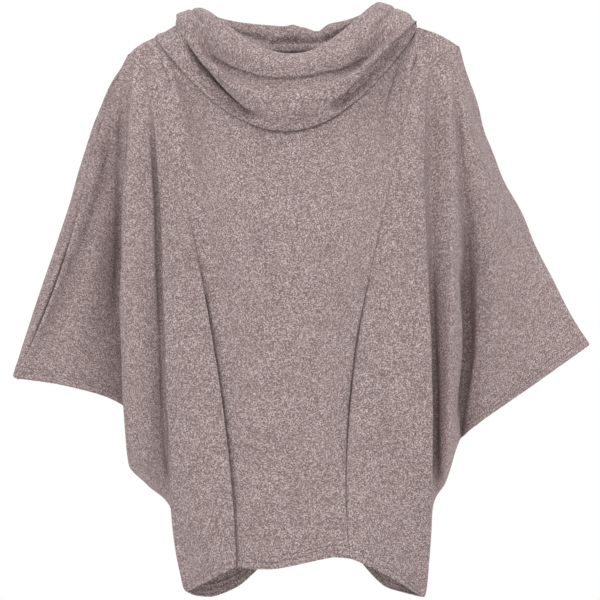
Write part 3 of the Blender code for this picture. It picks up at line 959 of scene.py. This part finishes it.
class Signal:
    """A socket of a shader's nodes that takes part in arithmetic."""

    def __init__(self, graph: "NodeGraph", socket: bpy.types.NodeSocket) -> None:
        """Wraps an output socket of the graph."""
        self.graph = graph
        self.socket = socket

    def math(self, operation: str, *values: "Number") -> "Signal":
        """Adds a Math node that works on this signal and the values."""
        inputs = dict(enumerate((self, *values)))
        return self.graph.signal("ShaderNodeMath", {"operation": operation}, inputs)

    def __add__(self, other: "Number") -> "Signal":
        """Sum, from either side."""
        return self.math("ADD", other)

    def __sub__(self, other: "Number") -> "Signal":
        """Difference."""
        return self.math("SUBTRACT", other)

    def __rsub__(self, other: "Number") -> "Signal":
        """Difference, from the right."""
        return self.graph.signal("ShaderNodeMath", {"operation": "SUBTRACT"}, {0: other, 1: self})

    def __mul__(self, other: "Number") -> "Signal":
        """Product, from either side."""
        return self.math("MULTIPLY", other)

    def __truediv__(self, other: "Number") -> "Signal":
        """Quotient."""
        return self.math("DIVIDE", other)

    __radd__ = __add__
    __rmul__ = __mul__

    def step(self, low: float, high: float) -> "Signal":
        """Rises from 0 at low to 1 at high, level at both ends.

        Args:
            low: Where the rise starts.
            high: Where it ends.

        Returns:
            The step.
        """
        return self.graph.signal(
            "ShaderNodeMapRange", {"interpolation_type": "SMOOTHSTEP"},
            {"Value": self, "From Min": low, "From Max": high})


Number = Union[float, Signal]


class NodeGraph:
    """The nodes of one material."""

    def __init__(self, name: str) -> None:
        """Makes a material with an empty node tree.

        Args:
            name: The material's name.
        """
        self.material = bpy.data.materials.new(name)
        self.material.use_nodes = True
        self.tree = self.material.node_tree
        self.tree.nodes.clear()

    def node(self, kind: str, settings: Dict[str, Any], inputs: Dict[Any, Any]) -> bpy.types.Node:
        """Adds any node.

        Args:
            kind: The node's type.
            settings: Its own settings, set before its sockets.
            inputs: Values, signals or sockets for its inputs, by name or number.

        Returns:
            The node.
        """
        made = self.tree.nodes.new(kind)
        for key, value in settings.items():
            setattr(made, key, value)
        for key, value in inputs.items():
            source = value.socket if isinstance(value, Signal) else value
            if isinstance(source, bpy.types.NodeSocket):
                self.tree.links.new(source, made.inputs[key])
            else:
                made.inputs[key].default_value = source
        return made

    def signal(self, kind: str, settings: Dict[str, Any], inputs: Dict[Any, Any],
               output: Union[int, str] = 0) -> Signal:
        """Adds any node and gives one of its outputs as a signal."""
        return Signal(self, self.node(kind, settings, inputs).outputs[output])

    def place(self) -> Signal:
        """Object coordinates."""
        return self.signal("ShaderNodeTexCoord", {}, {}, "Object")

    def blend(self, factor: Number, first: Any, second: Any) -> Signal:
        """Mixes two colours."""
        inputs = {0: factor, 6: opaque(first), 7: opaque(second)}
        return self.signal("ShaderNodeMix", {"data_type": "RGBA"}, inputs, 2)

    def relief(self, height: Signal, strength: float, distance: float) -> Signal:
        """Bump from a height."""
        return self.signal("ShaderNodeBump", {}, {
            "Strength": strength, "Distance": distance, "Height": height})

    def finish(self, inputs: Dict[Any, Any]) -> bpy.types.Material:
        """Closes the graph with a Principled shader.

        Args:
            inputs: Values or signals for the shader.

        Returns:
            The material.
        """
        shader = self.node("ShaderNodeBsdfPrincipled", {}, inputs)
        self.node("ShaderNodeOutputMaterial", {}, {"Surface": shader.outputs[0]})
        return self.material


def opaque(colour: Any) -> Any:
    """A colour of three numbers with its fourth, or a signal as it is."""
    return (*colour, 1.0) if isinstance(colour, tuple) and len(colour) == 3 else colour


@dataclass(frozen=True)
class KnitFinish:
    """Heathered rib knit: pale and dark fibres spun into a mauve-grey yarn.

    Patterns read the cloth's own map in metres.  grain turns the wales, in degrees.
    """

    name: str
    grain: float = 0.0
    yarn: Colour = (0.36, 0.268, 0.266)
    shade: Colour = (0.17, 0.12, 0.118)
    fleck: Colour = (0.72, 0.62, 0.61)
    wale: float = 0.0015
    course: float = 0.0011
    lean: float = 0.9
    clump_scale: Tuple[float, float] = (420.0, 520.0)
    fuzz_scale: Tuple[float, float] = (900.0, 1500.0)
    broad_scale: Tuple[float, float] = (16.0, 24.0)
    tone_parts: Tuple[float, float, float] = (0.62, 0.5, 0.68)
    tones: Tuple[float, float, float] = (0.56, 0.94, 1.25)
    gap_reach: float = 0.55
    gap_shade: float = 0.45
    broad_range: Tuple[float, float] = (0.35, 0.75)
    broad_shade: float = 0.14
    relief_parts: Tuple[float, float, float, float] = (0.6, 0.3, 0.5, 0.4)
    relief: float = 0.00035

    def material(self) -> bpy.types.Material:
        """Builds the material.

        Wales are ridges, the absolute sine across them.  Each row of loops leans up to both
        sides of its wale.  Tone: parts of a random value for each loop and of two noises drawn
        out along the yarn, from dark through the yarn's own colour to pale flecks.  The gaps
        between wales, and less so between loops, are darkened as painted shade, and a broad
        noise darkens the whole cloth a little at random.
        Relief: parts of ridge, loops, fuzz and clumps.

        Returns:
            The material.
        """
        graph = NodeGraph(self.name)
        flat = graph.signal("ShaderNodeUVMap", {"uv_map": "cloth"}, {})
        turned = graph.signal("ShaderNodeMapping", {}, {
            "Vector": flat, "Rotation": (0.0, 0.0, math.radians(self.grain))})
        parts = graph.node("ShaderNodeSeparateXYZ", {}, {0: turned})
        wale = Signal(graph, parts.outputs[0]) / self.wale
        off_middle = (wale.math("FRACT") - 0.5).math("ABSOLUTE")
        course = Signal(graph, parts.outputs[1]) / self.course + off_middle * self.lean
        ridge, loops = self.humps(wale), self.humps(course)
        stitch = graph.signal("ShaderNodeCombineXYZ", {}, {
            0: wale.math("FLOOR") + 0.5, 1: course.math("FLOOR") + 0.5, 2: 0.0})
        own = graph.signal("ShaderNodeTexWhiteNoise", {"noise_dimensions": "2D"}, {
            "Vector": stitch})
        clump = self.fibres(turned, self.clump_scale, 0.0)
        fuzz = self.fibres(turned, self.fuzz_scale, 3.7)
        broad = self.fibres(turned, self.broad_scale, 5.2)
        tone = self.total((own, clump, fuzz), self.tone_parts)
        dark, plain, pale = self.tones
        mixed = graph.blend(tone.step(dark, plain), self.shade, self.yarn)
        mixed = graph.blend(tone.step(plain, pale), mixed, self.fleck)
        # Painted shade: the gaps between wales, and less so between loops, are darkened toward
        # the shade colour, as the ridges beside them would shade them.
        gap = ridge.step(0.0, self.gap_reach) * (loops * 0.3 + 0.7)
        mixed = graph.blend(gap * self.gap_shade + (1.0 - self.gap_shade), self.shade, mixed)
        shading = broad.step(*self.broad_range) * self.broad_shade
        mixed = graph.blend(shading, mixed, self.shade)
        height = self.total((ridge, loops, fuzz, clump), self.relief_parts)
        return graph.finish({
            "Base Color": mixed, "Roughness": clump * 0.1 + 0.86,
            "Normal": graph.relief(height, 0.7, self.relief),
            "Specular IOR Level": 0.15, "Sheen Weight": 0.05, "Sheen Roughness": 0.6})

    @staticmethod
    def total(signals: Sequence[Signal], parts: Sequence[float]) -> Signal:
        """Signals added up, each times its part."""
        terms = [signal * part for signal, part in zip(signals, parts)]
        return sum(terms[1:], terms[0])

    @staticmethod
    def humps(count: Signal) -> Signal:
        """A rounded ridge for each whole number, the absolute sine."""
        return (count * math.pi).math("SINE").math("ABSOLUTE")

    @staticmethod
    def fibres(place: Signal, scale: Tuple[float, float], seed: float) -> Signal:
        """Noise drawn out along the yarn, from 0 to 1.

        Args:
            place: Where it is read.
            scale: How many of its grains there are in a metre, across and down.
            seed: How far it is moved, so that two noises differ.

        Returns:
            The noise.
        """
        stretched = place.graph.signal("ShaderNodeMapping", {}, {
            "Vector": place, "Location": (seed, seed * 0.7, seed), "Scale": (*scale, 1.0)})
        return place.graph.signal("ShaderNodeTexNoise", {}, {
            "Vector": stretched, "Scale": 1.0, "Detail": 2.0, "Roughness": 0.62})


@dataclass(frozen=True)
class ThreadFinish:
    """Twisted sewing thread, its tone kept a little darker than the cloth's as painted shade of
    the dips the stitches lie in.
    """

    name: str
    light: Colour = (0.2, 0.145, 0.142)
    dark: Colour = (0.1, 0.07, 0.07)
    twist: float = 900.0
    relief: float = 0.0001

    def material(self) -> bpy.types.Material:
        """Builds the material: fine slanting bands of two tones, painted light and shade of the
        twist, with a slight relief.

        Returns:
            The material.
        """
        graph = NodeGraph(self.name)
        # Painted light and shade: the bands blend a dark and a light tone as the twist would be
        # lit, and both tones sit below the cloth's as shade of the stitch dips.
        twist_shade_bands = graph.signal("ShaderNodeTexWave", {"wave_type": "BANDS"}, {
            "Vector": graph.place(), "Scale": self.twist, "Distortion": 2.0}, "Fac")
        return graph.finish({
            "Base Color": graph.blend(twist_shade_bands, self.dark, self.light), "Roughness": 0.7,
            "Normal": graph.relief(twist_shade_bands, 0.4, self.relief), "Specular IOR Level": 0.3})


@dataclass(frozen=True)
class StageFinish:
    """Plain matt pale ground with a very slight unevenness."""

    name: str = "pale_ground"
    colour: Colour = (0.86, 0.86, 0.86)
    darker: Colour = (0.8, 0.8, 0.8)

    def material(self) -> bpy.types.Material:
        """Builds the material: a wide noise that blends two near tones.

        Returns:
            The material.
        """
        graph = NodeGraph(self.name)
        tone = graph.signal("ShaderNodeTexNoise", {}, {"Vector": graph.place(), "Scale": 2.0})
        return graph.finish({
            "Base Color": graph.blend(tone * 0.05, self.colour, self.darker), "Roughness": 0.9})


@dataclass
class Stitching:
    """Rows of short stitches along the hems and cuffs of one panel.

    first is the share of the pitch before a row's first stitch, and blunt keeps the tips of
    a stitch from closing to a point.
    """

    pitch: float = 3.3
    first: float = 0.75
    length: float = 2.3
    radius: float = 0.38
    blunt: float = 0.0004
    flatness: float = 0.7
    arch: float = 0.25
    sunk: float = 0.1
    sides: int = 6
    rings: int = 7
    pieces: List[Array] = field(default_factory=list)

    def add_row(self, path: Array, normals: Array) -> None:
        """Lays stitches along a path, each a closed spindle that lies on the cloth.

        A stitch is a ring of points whose radius follows a half circle along its length,
        carried to each place by the path's direction and the cloth's outward direction.

        Args:
            path: Points of the row, in millimetres.
            normals: Outward direction of the cloth at each of them.
        """
        reached = arc_lengths(path, 0)
        count = int(reached[-1] / self.pitch) - 1
        if count < 1:
            return
        places = (np.arange(count) + self.first) * self.pitch
        centre = read_points(places, reached, path)
        way = unit(read_points(places + 0.5, reached, path) - centre)
        out = unit(read_points(places, reached, normals))
        side = unit(np.cross(way, out))
        t = np.linspace(-1.0, 1.0, self.rings)
        turn = np.linspace(0.0, 2.0 * math.pi, self.sides, endpoint=False)
        radius = self.radius * np.sqrt(np.maximum(1.0 - t * t, self.blunt))
        arch = self.arch * (1.0 - t * t) - self.sunk
        ring = (centre[:, None] + way[:, None] * (0.5 * self.length * t)[:, None]
                + out[:, None] * arch[:, None])
        circle = (side[:, None] * np.cos(turn)[:, None]
                  + out[:, None] * (self.flatness * np.sin(turn))[:, None])
        points = ring[:, :, None] + circle[:, None] * radius[:, None, None]
        self.pieces.append(points.reshape(count, -1, 3))

    def build(self, name: str) -> bpy.types.Object:
        """Makes one mesh of all the stitches; two faces close the six sides at each end.

        Args:
            name: The object's name.

        Returns:
            The object.
        """
        points = np.concatenate(self.pieces)
        index = np.arange(self.rings * self.sides).reshape(self.rings, self.sides)
        face = grid_faces(once_round(index))[:, [0, 3, 2, 1]]
        cap = np.array([[3, 2, 1, 0], [5, 4, 3, 0]])
        one = np.concatenate([face, index[0][cap], index[-1][cap[:, ::-1]]])
        faces = one + (np.arange(len(points)) * index.size)[:, None, None]
        return make_mesh(name, points.reshape(-1, 3), faces.reshape(-1, 4))


class Cut(NamedTuple):
    """The flat size of a piece of cloth as it was cut, in metres and square metres."""

    width: float
    length: float
    area: float


@dataclass(frozen=True)
class Panel:
    """A panel of the garment: a stretch of the loop between two fold lines."""

    node: str
    first: int
    last: int
    middle: int
    finish: KnitFinish
    cut: Cut


@dataclass
class Garment:
    """Body and sleeves: works out the cloth once and cuts the panels from it.

    Sizes are in millimetres.  A sink is the depth and the width of a dip at an edge, and
    thinning is the share and the width by which the cloth is thinner there.  Creases start
    within crease_starts of a shoulder and of a closed end.  The change from an open end to
    a closed one is spread over hem_softening columns on both sides.  From turn_row down, what
    turns inwards counts as length on the flat cloth.  An open edge of fewer columns than
    least_stretch gets no stitches.
    """

    form: DrapedForm = DrapedForm()
    hem: HemFold = HemFold()
    small: SmallForms = SmallForms()
    thickness: float = 1.5
    thinning: Tuple[float, float] = (0.4, 3.0)
    seam_sink: Tuple[float, float] = (0.9, 1.8)
    neck_sink: Tuple[float, float] = (2.4, 6.0)
    crease_starts: Tuple[float, float] = (14.0, 20.0)
    hem_softening: int = 3
    turn_row: int = 84
    stitch_lift: float = 0.1
    least_stretch: int = 4

    def __post_init__(self) -> None:
        """Samples the form and marks the columns that end at an open edge."""
        self.grid, self.marks, self.angles = self.form.grid()
        self.total = self.grid.shape[1]
        self.normals = grid_normals(self.grid)
        closed = self.form.closed_columns(self.marks)
        self.open_end = ~np.isin(np.arange(self.total), np.concatenate(sum(closed, ())))
        self.share_normals(0, self.form.shoulder_columns(self.marks))
        self.share_normals(-1, closed)

    def share_normals(self, row: int, pairs: List[Tuple[Array, Array]]) -> None:
        """Averages the directions of front and back along the seams they share.

        Args:
            row: The seams' row.
            pairs: Columns of front and back along each seam.
        """
        for front, back in pairs:
            shared = unit(self.normals[row, front] + self.normals[row, back])
            self.normals[row, front] = shared
            self.normals[row, back] = shared

    def join_collar(self, collar: "Collar") -> None:
        """Averages the directions of collar and panels along the neckline seam.

        Args:
            collar: The collar, whose directions are changed too.
        """
        on_neck = np.flatnonzero(~np.isnan(self.angles))
        angles = self.angles[on_neck]
        own = read_points(collar.angles, angles, self.normals[0, on_neck], period=360.0)
        collar.normals[0] = unit(own + collar.normals[0])
        shared = read_points(angles, collar.angles, collar.normals[0], period=360.0)
        self.normals[0, on_neck] = unit(shared)

    def relieve(self) -> None:
        """Adds all the small forms and works out the inner face.

        The moves are along the form's outward direction: creases and ripples fade out at
        the seams' rows, where only the dip into the seam is left.
        """
        front = (np.arange(self.total) <= self.marks[len(FOLD_LINES) - 1]).astype(float)[None]
        from_top = arc_lengths(self.grid, 0)
        self.from_edge = from_top[-1:] - from_top
        near = range(-self.hem_softening, self.hem_softening + 1)
        soft = sum(np.roll(self.open_end, turn).astype(float) for turn in near) / len(near)
        from_shoulder, from_seam = self.crease_starts
        moves = self.small.creases(self.grid, {Face.FRONT: front, Face.BACK: 1.0 - front})
        moves = (moves + self.small.ripples(self.grid)) * soft_step(from_top, 0.0, from_shoulder)
        moves = moves * (soft + (1.0 - soft) * soft_step(self.from_edge, 0.0, from_seam))
        slides = np.zeros_like(moves)
        for seam in SEAM_FOLDS:
            out, slide = seam.offsets(self.grid, self.marks[seam.line])
            moves = moves + out
            slides = slides + slide
        moves = moves - bell(from_top, *self.seam_sink)
        moves = moves - np.where(np.isnan(self.angles), 0.0, bell(from_top, *self.neck_sink))
        moves = moves + soft * self.hem.offsets(self.from_edge)
        moves = moves - (1.0 - soft) * bell(self.from_edge, *self.seam_sink)
        sideways = unit(np.roll(self.grid, -1, axis=1) - np.roll(self.grid, 1, axis=1))
        self.outer = (self.grid + self.normals * moves[..., None]
                      + sideways * slides[..., None])
        doubled = soft * self.hem.doubling(self.from_edge, self.hem.layer_step)
        wall = self.thickness * (1.0 + self.hem.layer * doubled)
        wall = wall * (1.0 - bell(from_top, *self.thinning))
        self.inner = self.outer - self.normals * wall[..., None]
        self.around = arc_lengths(once_round(self.outer), 1)
        inwards = from_top + self.grid[..., 2] - self.grid[:1, :, 2]
        self.turned_under = np.maximum(0.0, inwards - inwards[self.turn_row])

    def cloth_map(self, numbers: Array, middle: int) -> Array:
        """Places of a panel's points on the flat cloth.

        Across: the length along the row from the panel's middle.  Down: the mean of the
        place's height and the middle's, and the cloth that turns under at a closed end.

        Args:
            numbers: The panel's columns, counted on past the loop's start.
            middle: The column from which lengths are measured.

        Returns:
            Two places in millimetres for each point.
        """
        turns, columns = np.divmod(np.append(numbers, middle), self.total)
        around = self.around[:, columns] + turns * self.around[:, -1:]
        heights = self.grid[:, columns, 2]
        down = self.turned_under[:, columns] - 0.5 * (heights + heights[:, -1:])
        return np.stack([around - around[:, -1:], down], axis=-1)[:, :-1]

    def cut_panel(self, panel: Panel) -> None:
        """Cuts a panel from the cloth and dresses it.

        Args:
            panel: Which stretch it is, and its finish.
        """
        marks = np.concatenate([self.marks, self.marks + self.total])
        numbers = np.arange(marks[panel.first], marks[panel.last] + 1)
        columns = numbers % self.total
        piece = ClothMesh(panel.node + "_cloth", self.outer[:, columns], self.inner[:, columns],
                          self.cloth_map(numbers, marks[panel.middle])).build()
        piece.data.materials.append(panel.finish.material())
        stitches = self.stitch(panel, columns)
        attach(piece, "root")
        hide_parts(panel.node)
        panel.node + "_knit"

    def stitch(self, panel: Panel, columns: Array) -> bpy.types.Object:
        """Sews the panel's hem and cuff edges with rows of stitches, outside and inside.

        Args:
            panel: The panel.
            columns: Its columns in the loop.

        Returns:
            One piece with all its stitches.
        """
        stitching = Stitching()
        changes = np.flatnonzero(np.diff(self.open_end[columns])) + 1
        for stretch in np.split(columns, changes):
            if not self.open_end[stretch[0]] or len(stretch) < self.least_stretch:
                continue
            for row in self.hem.stitch_rows:
                for grid, facing in ((self.outer, 1.0), (self.inner, -1.0)):
                    path, out = self.row_at(stretch, row, grid)
                    stitching.add_row(path + facing * self.stitch_lift * out, facing * out)
        piece = stitching.build(panel.node + "_stitches")
        piece.data.materials.append(ThreadFinish(panel.node + "_thread").material())
        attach(piece, "root")
        panel.node + "_knit"
        return piece

    def row_at(self, columns: Array, distance: float, grid: Array) -> Tuple[Array, Array]:
        """A line on the cloth at one distance from the edge.

        Args:
            columns: The columns it crosses.
            distance: Its distance from the edge.
            grid: The outer or the inner face.

        Returns:
            Its points, and the outward direction at each.
        """
        heights = self.from_edge[:, columns]
        below = np.argmax(heights < distance, axis=0)
        upper = np.take_along_axis(heights, below[None] - 1, axis=0)[0]
        lower = np.take_along_axis(heights, below[None], axis=0)[0]
        share = ((upper - distance) / (upper - lower))[:, None]
        points = grid[below - 1, columns] * (1.0 - share) + grid[below, columns] * share
        return points, self.normals[below, columns]


@dataclass
class Collar:
    """The cowl collar: a tube of rings that rolls outwards and ends inside.

    Sizes are in millimetres and angles in degrees from the front.  Places count the rings
    from 0 at the seam: rows has the number of rows up to each place of marks.  soft_front
    and soft_sides are the angle at the middle of a stretch whose folds are softer, and the
    angles from there at which that starts and ends to fade.  front_to, rim_from and
    inside_from are depths, y.  notch is the x of its middle, its height and its widths to
    both sides, and bump is its x, height and width.
    """

    neck: Neckline = Neckline()
    small: SmallForms = SmallForms()
    thickness: float = 1.6
    thinning: Tuple[float, float] = (0.4, 3.0)
    marks: Tuple[float, ...] = (0.0, 0.1, 0.4, 1.0, 2.0, 3.0, 3.9, 4.5, 5.0, 6.0, 7.0, 8.0, 9.0,
                                10.0)
    rows: Tuple[int, ...] = (0, 3, 7, 12, 26, 35, 43, 59, 64, 74, 86, 98, 106, 111)
    soft_front: Tuple[float, float, float] = (4.0, 10.0, 30.0)
    soft_sides: Tuple[float, float, float] = (94.0, 22.0, 44.0)
    side_share: float = 0.95
    soft_bulge: float = 7.0
    rim: Tuple[float, float] = (6.2, 1.1)
    notch: Tuple[float, float, float, float] = (25.0, -9.0, 15.0, 9.0)
    bump: Tuple[float, float, float] = (-10.0, 3.0, 7.0)
    front_to: float = 10.0
    rim_from: float = 20.0
    inside_from: float = 30.0
    roll_places: Tuple[float, float, float, float] = (1.3, 1.9, 6.0, 6.6)
    band_places: Tuple[float, float, float, float] = (0.15, 0.8, 1.2, 1.9)
    inner_places: Tuple[float, float] = (6.6, 7.2)
    ripple_share: float = 0.6
    ripple_start: float = 12.0
    seam_sink: Tuple[float, float] = (1.0, 1.2)
    seam_edge: Tuple[float, float] = (2.4, 8.0)
    seam_rise: float = 1.6

    def __post_init__(self) -> None:
        """Samples the rings finely, both round and along the collar."""
        self.angles = np.arange(360.0)
        rings = np.stack([self.neck.ring(ring[1:], self.angles) for ring in COLLAR_RINGS])
        knots = np.arange(len(rings), dtype=float)
        self.places = np.interp(np.arange(self.rows[-1] + 1), self.rows, self.marks)
        grid = smooth_curve(knots, rings.transpose(1, 2, 0), self.places).transpose(2, 0, 1)
        turned = (self.angles + 180.0) % 360.0 - 180.0
        middle, full, end = self.soft_front
        self.soften(grid, 0, 3, 1.0 - soft_step(np.abs(turned - middle), full, end))
        middle, full, end = self.soft_sides
        side = 1.0 - soft_step(np.abs(np.abs(turned) - middle), full, end)
        self.soften(grid, 3, 5, self.side_share * side)
        self.shape_back_rim(grid)
        self.grid = grid
        self.normals = -grid_normals(grid)

    def soften(self, grid: Array, first: int, last: int, share: Array) -> None:
        """Draws the rows between two rings toward the straight way from one to the other.

        Args:
            grid: The rows, changed in place.
            first: Number of the ring where the stretch starts.
            last: Number of the ring where it ends.
            share: How far each column is drawn.
        """
        start, end = (int(np.argmin(np.abs(self.places - ring))) for ring in (first, last))
        rows = grid[start:end + 1]
        along = np.linspace(0.0, 1.0, len(rows))[:, None, None]
        straight = rows[:1] * (1.0 - along) + rows[-1:] * along
        outwards = unit(rows[:1] * [1.0, 1.0, 0.0])
        bulge = self.soft_bulge * np.sin(math.pi * along) * outwards
        rows += (straight + bulge - rows) * share[None, :, None]

    def shape_back_rim(self, grid: Array) -> None:
        """Gives the rim at the back its small notch and bump, each a bell across.

        Args:
            grid: The rows, changed in place.
        """
        place, width = self.rim
        near_rim = bell(self.places - place, 1.0, width)[:, None]
        x = grid[..., 0]
        middle, height, left, right = self.notch
        notch = bell(x - middle, height, np.where(x < middle, left, right))
        middle, height, width = self.bump
        bump = bell(x - middle, height, width)
        grid[..., 2] += near_rim * (grid[..., 1] > self.rim_from) * (notch + bump)

    def relieve(self) -> None:
        """Adds the creases, the seam's edge and slight ripples; works out the inner face."""
        from_seam = arc_lengths(self.grid, 0)
        place = self.places[:, None]
        depth = self.grid[..., 1]
        moves = self.small.creases(self.grid, {
            Face.ROLL: between(place, *self.roll_places) * (depth < self.front_to),
            Face.BAND: between(place, *self.band_places) * (depth < self.front_to),
            Face.INSIDE: soft_step(place, *self.inner_places) * (depth > self.inside_from)})
        fading = self.ripple_share * soft_step(from_seam, 0.0, self.ripple_start)
        moves = moves + self.small.ripples(self.grid) * fading
        height, width = self.seam_edge
        raised = height * np.exp(-(from_seam / width) ** 3)
        moves = moves + raised * soft_step(from_seam, 0.0, self.seam_rise)
        moves = moves - bell(from_seam, *self.seam_sink)
        self.outer = self.grid + self.normals * moves[..., None]
        wall = self.thickness * (1.0 - bell(from_seam, *self.thinning))
        self.inner = self.outer - self.normals * wall[..., None]

    def build(self, finish: KnitFinish, cut: Cut) -> None:
        """Makes the collar's piece, its rows from the inner end to the seam.

        Args:
            finish: Its knit.
            cut: Its flat size; not used.
        """
        around = arc_lengths(once_round(self.grid[:1]), 1)
        cloth_map = np.stack(np.broadcast_arrays(around[:, :-1], arc_lengths(self.outer, 0)),
                             axis=-1)
        piece = ClothMesh("collar_cloth", self.outer[::-1], self.inner[::-1], cloth_map[::-1],
                          around=float(around[0, -1])).build()
        piece.data.materials.append(finish.material())
        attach(piece, "root")
        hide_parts("collar")


@dataclass(frozen=True)
class AreaLamp:
    """A soft rectangular lamp, given by its place, its size and its power."""

    name: str
    place: Tuple[float, float, float]
    size: Tuple[float, float]
    power: float
    aim: Tuple[float, float, float] = (0.0, 0.0, -0.35)

    def build(self) -> None:
        """Makes the lamp, turned to its aim."""
        light = bpy.data.lights.new(self.name, "AREA")
        light.shape = "RECTANGLE"
        light.size, light.size_y = self.size
        light.energy = self.power
        lamp = bpy.data.objects.new(self.name, light)
        bpy.context.scene.collection.objects.link(lamp)
        place = np.array(self.place)
        facing = unit(place - np.array(self.aim))
        side = unit(np.cross([0.0, 0.0, 1.0], facing))
        up = np.cross(facing, side)
        turn = np.eye(4)
        turn[:3, 0], turn[:3, 1], turn[:3, 2], turn[:3, 3] = side, up, facing, place
        lamp.matrix_world = Matrix(turn.tolist())


@dataclass(frozen=True)
class Studio:
    """Pale ground, soft light and the camera of the picture."""

    floor_height: float = -1.45
    floor_radii: Tuple[float, float] = (0.0005, 5.0)
    floor_rings: int = 12
    floor_sides: int = 96
    camera_distance: float = 9.0
    picture_width: float = 0.81
    picture_centre: Tuple[float, float] = (0.0, -0.3375)
    reference_depth: float = -0.02
    ambient: float = 0.96

    def build_floor(self) -> None:
        """A wide disc: rings of points whose radius grows, joined by faces."""
        turn = np.linspace(0.0, 2.0 * math.pi, self.floor_sides, endpoint=False)
        radii = np.linspace(*self.floor_radii, self.floor_rings)[:, None]
        x, y = radii * np.cos(turn), radii * np.sin(turn)
        points = np.stack([x, y, np.full_like(x, self.floor_height)], axis=-1) / METRES
        faces = grid_faces(once_round(np.arange(x.size).reshape(x.shape)))
        floor = make_mesh("floor", points.reshape(-1, 3), faces)
        floor.data.materials.append(StageFinish().material())

    def build_world(self) -> None:
        """White surroundings that are seen at full strength and light the cloth at less."""
        world = bpy.data.worlds.new("surroundings")
        world.use_nodes = True
        tree = world.node_tree
        ground = tree.nodes["Background"]
        ground.inputs["Color"].default_value = (1.0, 1.0, 1.0, 1.0)
        seen = tree.nodes.new("ShaderNodeLightPath").outputs["Is Camera Ray"]
        level = tree.nodes.new("ShaderNodeMapRange")
        level.inputs["To Min"].default_value = self.ambient
        tree.links.new(seen, level.inputs["Value"])
        tree.links.new(level.outputs[0], ground.inputs["Strength"])
        bpy.context.scene.world = world

    def build_camera(self) -> None:
        """A level camera with a long lens, square on to the front."""
        lens = bpy.data.cameras.new("camera")
        lens.sensor_width = 36.0
        lens.lens = 36.0 * self.camera_distance / self.picture_width
        lens.clip_end = 60.0
        camera = bpy.data.objects.new("camera", lens)
        bpy.context.scene.collection.objects.link(camera)
        camera.location = (self.picture_centre[0], self.reference_depth - self.camera_distance,
                           self.picture_centre[1])
        camera.rotation_euler = (math.radians(90.0), 0.0, 0.0)
        bpy.context.scene.camera = camera

    def build(self, lamps: Sequence[AreaLamp]) -> None:
        """Makes ground, surroundings, lamps and camera.

        Args:
            lamps: The lamps.
        """
        self.build_floor()
        self.build_world()
        self.build_camera()
        bpy.context.scene.view_settings.view_transform = "Standard"
        for lamp in lamps:
            lamp.build()


LAMPS: Tuple[AreaLamp, ...] = (
    AreaLamp("key", (-0.8, -2.96, 2.22), (0.8, 0.8), 17.0),
    AreaLamp("side", (2.35, -1.97, 2.22), (0.8, 0.8), 9.0),
    AreaLamp("top", (0.0, -1.04, 3.51), (0.8, 0.8), 17.0),
    AreaLamp("back", (0.8, 2.96, 2.2), (0.8, 0.8), 14.0),
)

PANELS: Tuple[Panel, ...] = (
    Panel("front_side_left", 1, 9, 8, KnitFinish("side_left_knit", grain=-42.0),
          Cut(0.46, 0.76, 0.2)),
    Panel("front_centre", 9, 17, 13, KnitFinish("centre_knit"), Cut(0.40, 0.75, 0.17)),
    Panel("front_side_right", 17, 27, 18, KnitFinish("side_right_knit", grain=42.0),
          Cut(0.50, 0.76, 0.22)),
    Panel("back", 27, 57, 43, KnitFinish("back_knit"), Cut(1.10, 0.80, 0.60)),
)


def main() -> None:
    """Builds studio, collar and panels in order."""
    logging.basicConfig(level=logging.INFO, format="%(message)s")
    Studio().build(LAMPS)
    collar = Collar()
    garment = Garment()
    garment.join_collar(collar)
    garment.relieve()
    collar.relieve()
    for panel in PANELS:
        garment.cut_panel(panel)
    collar.build(KnitFinish("collar_knit", wale=0.0019), Cut(0.86, 0.17, 0.14))


if __name__ == "__main__":
    main()
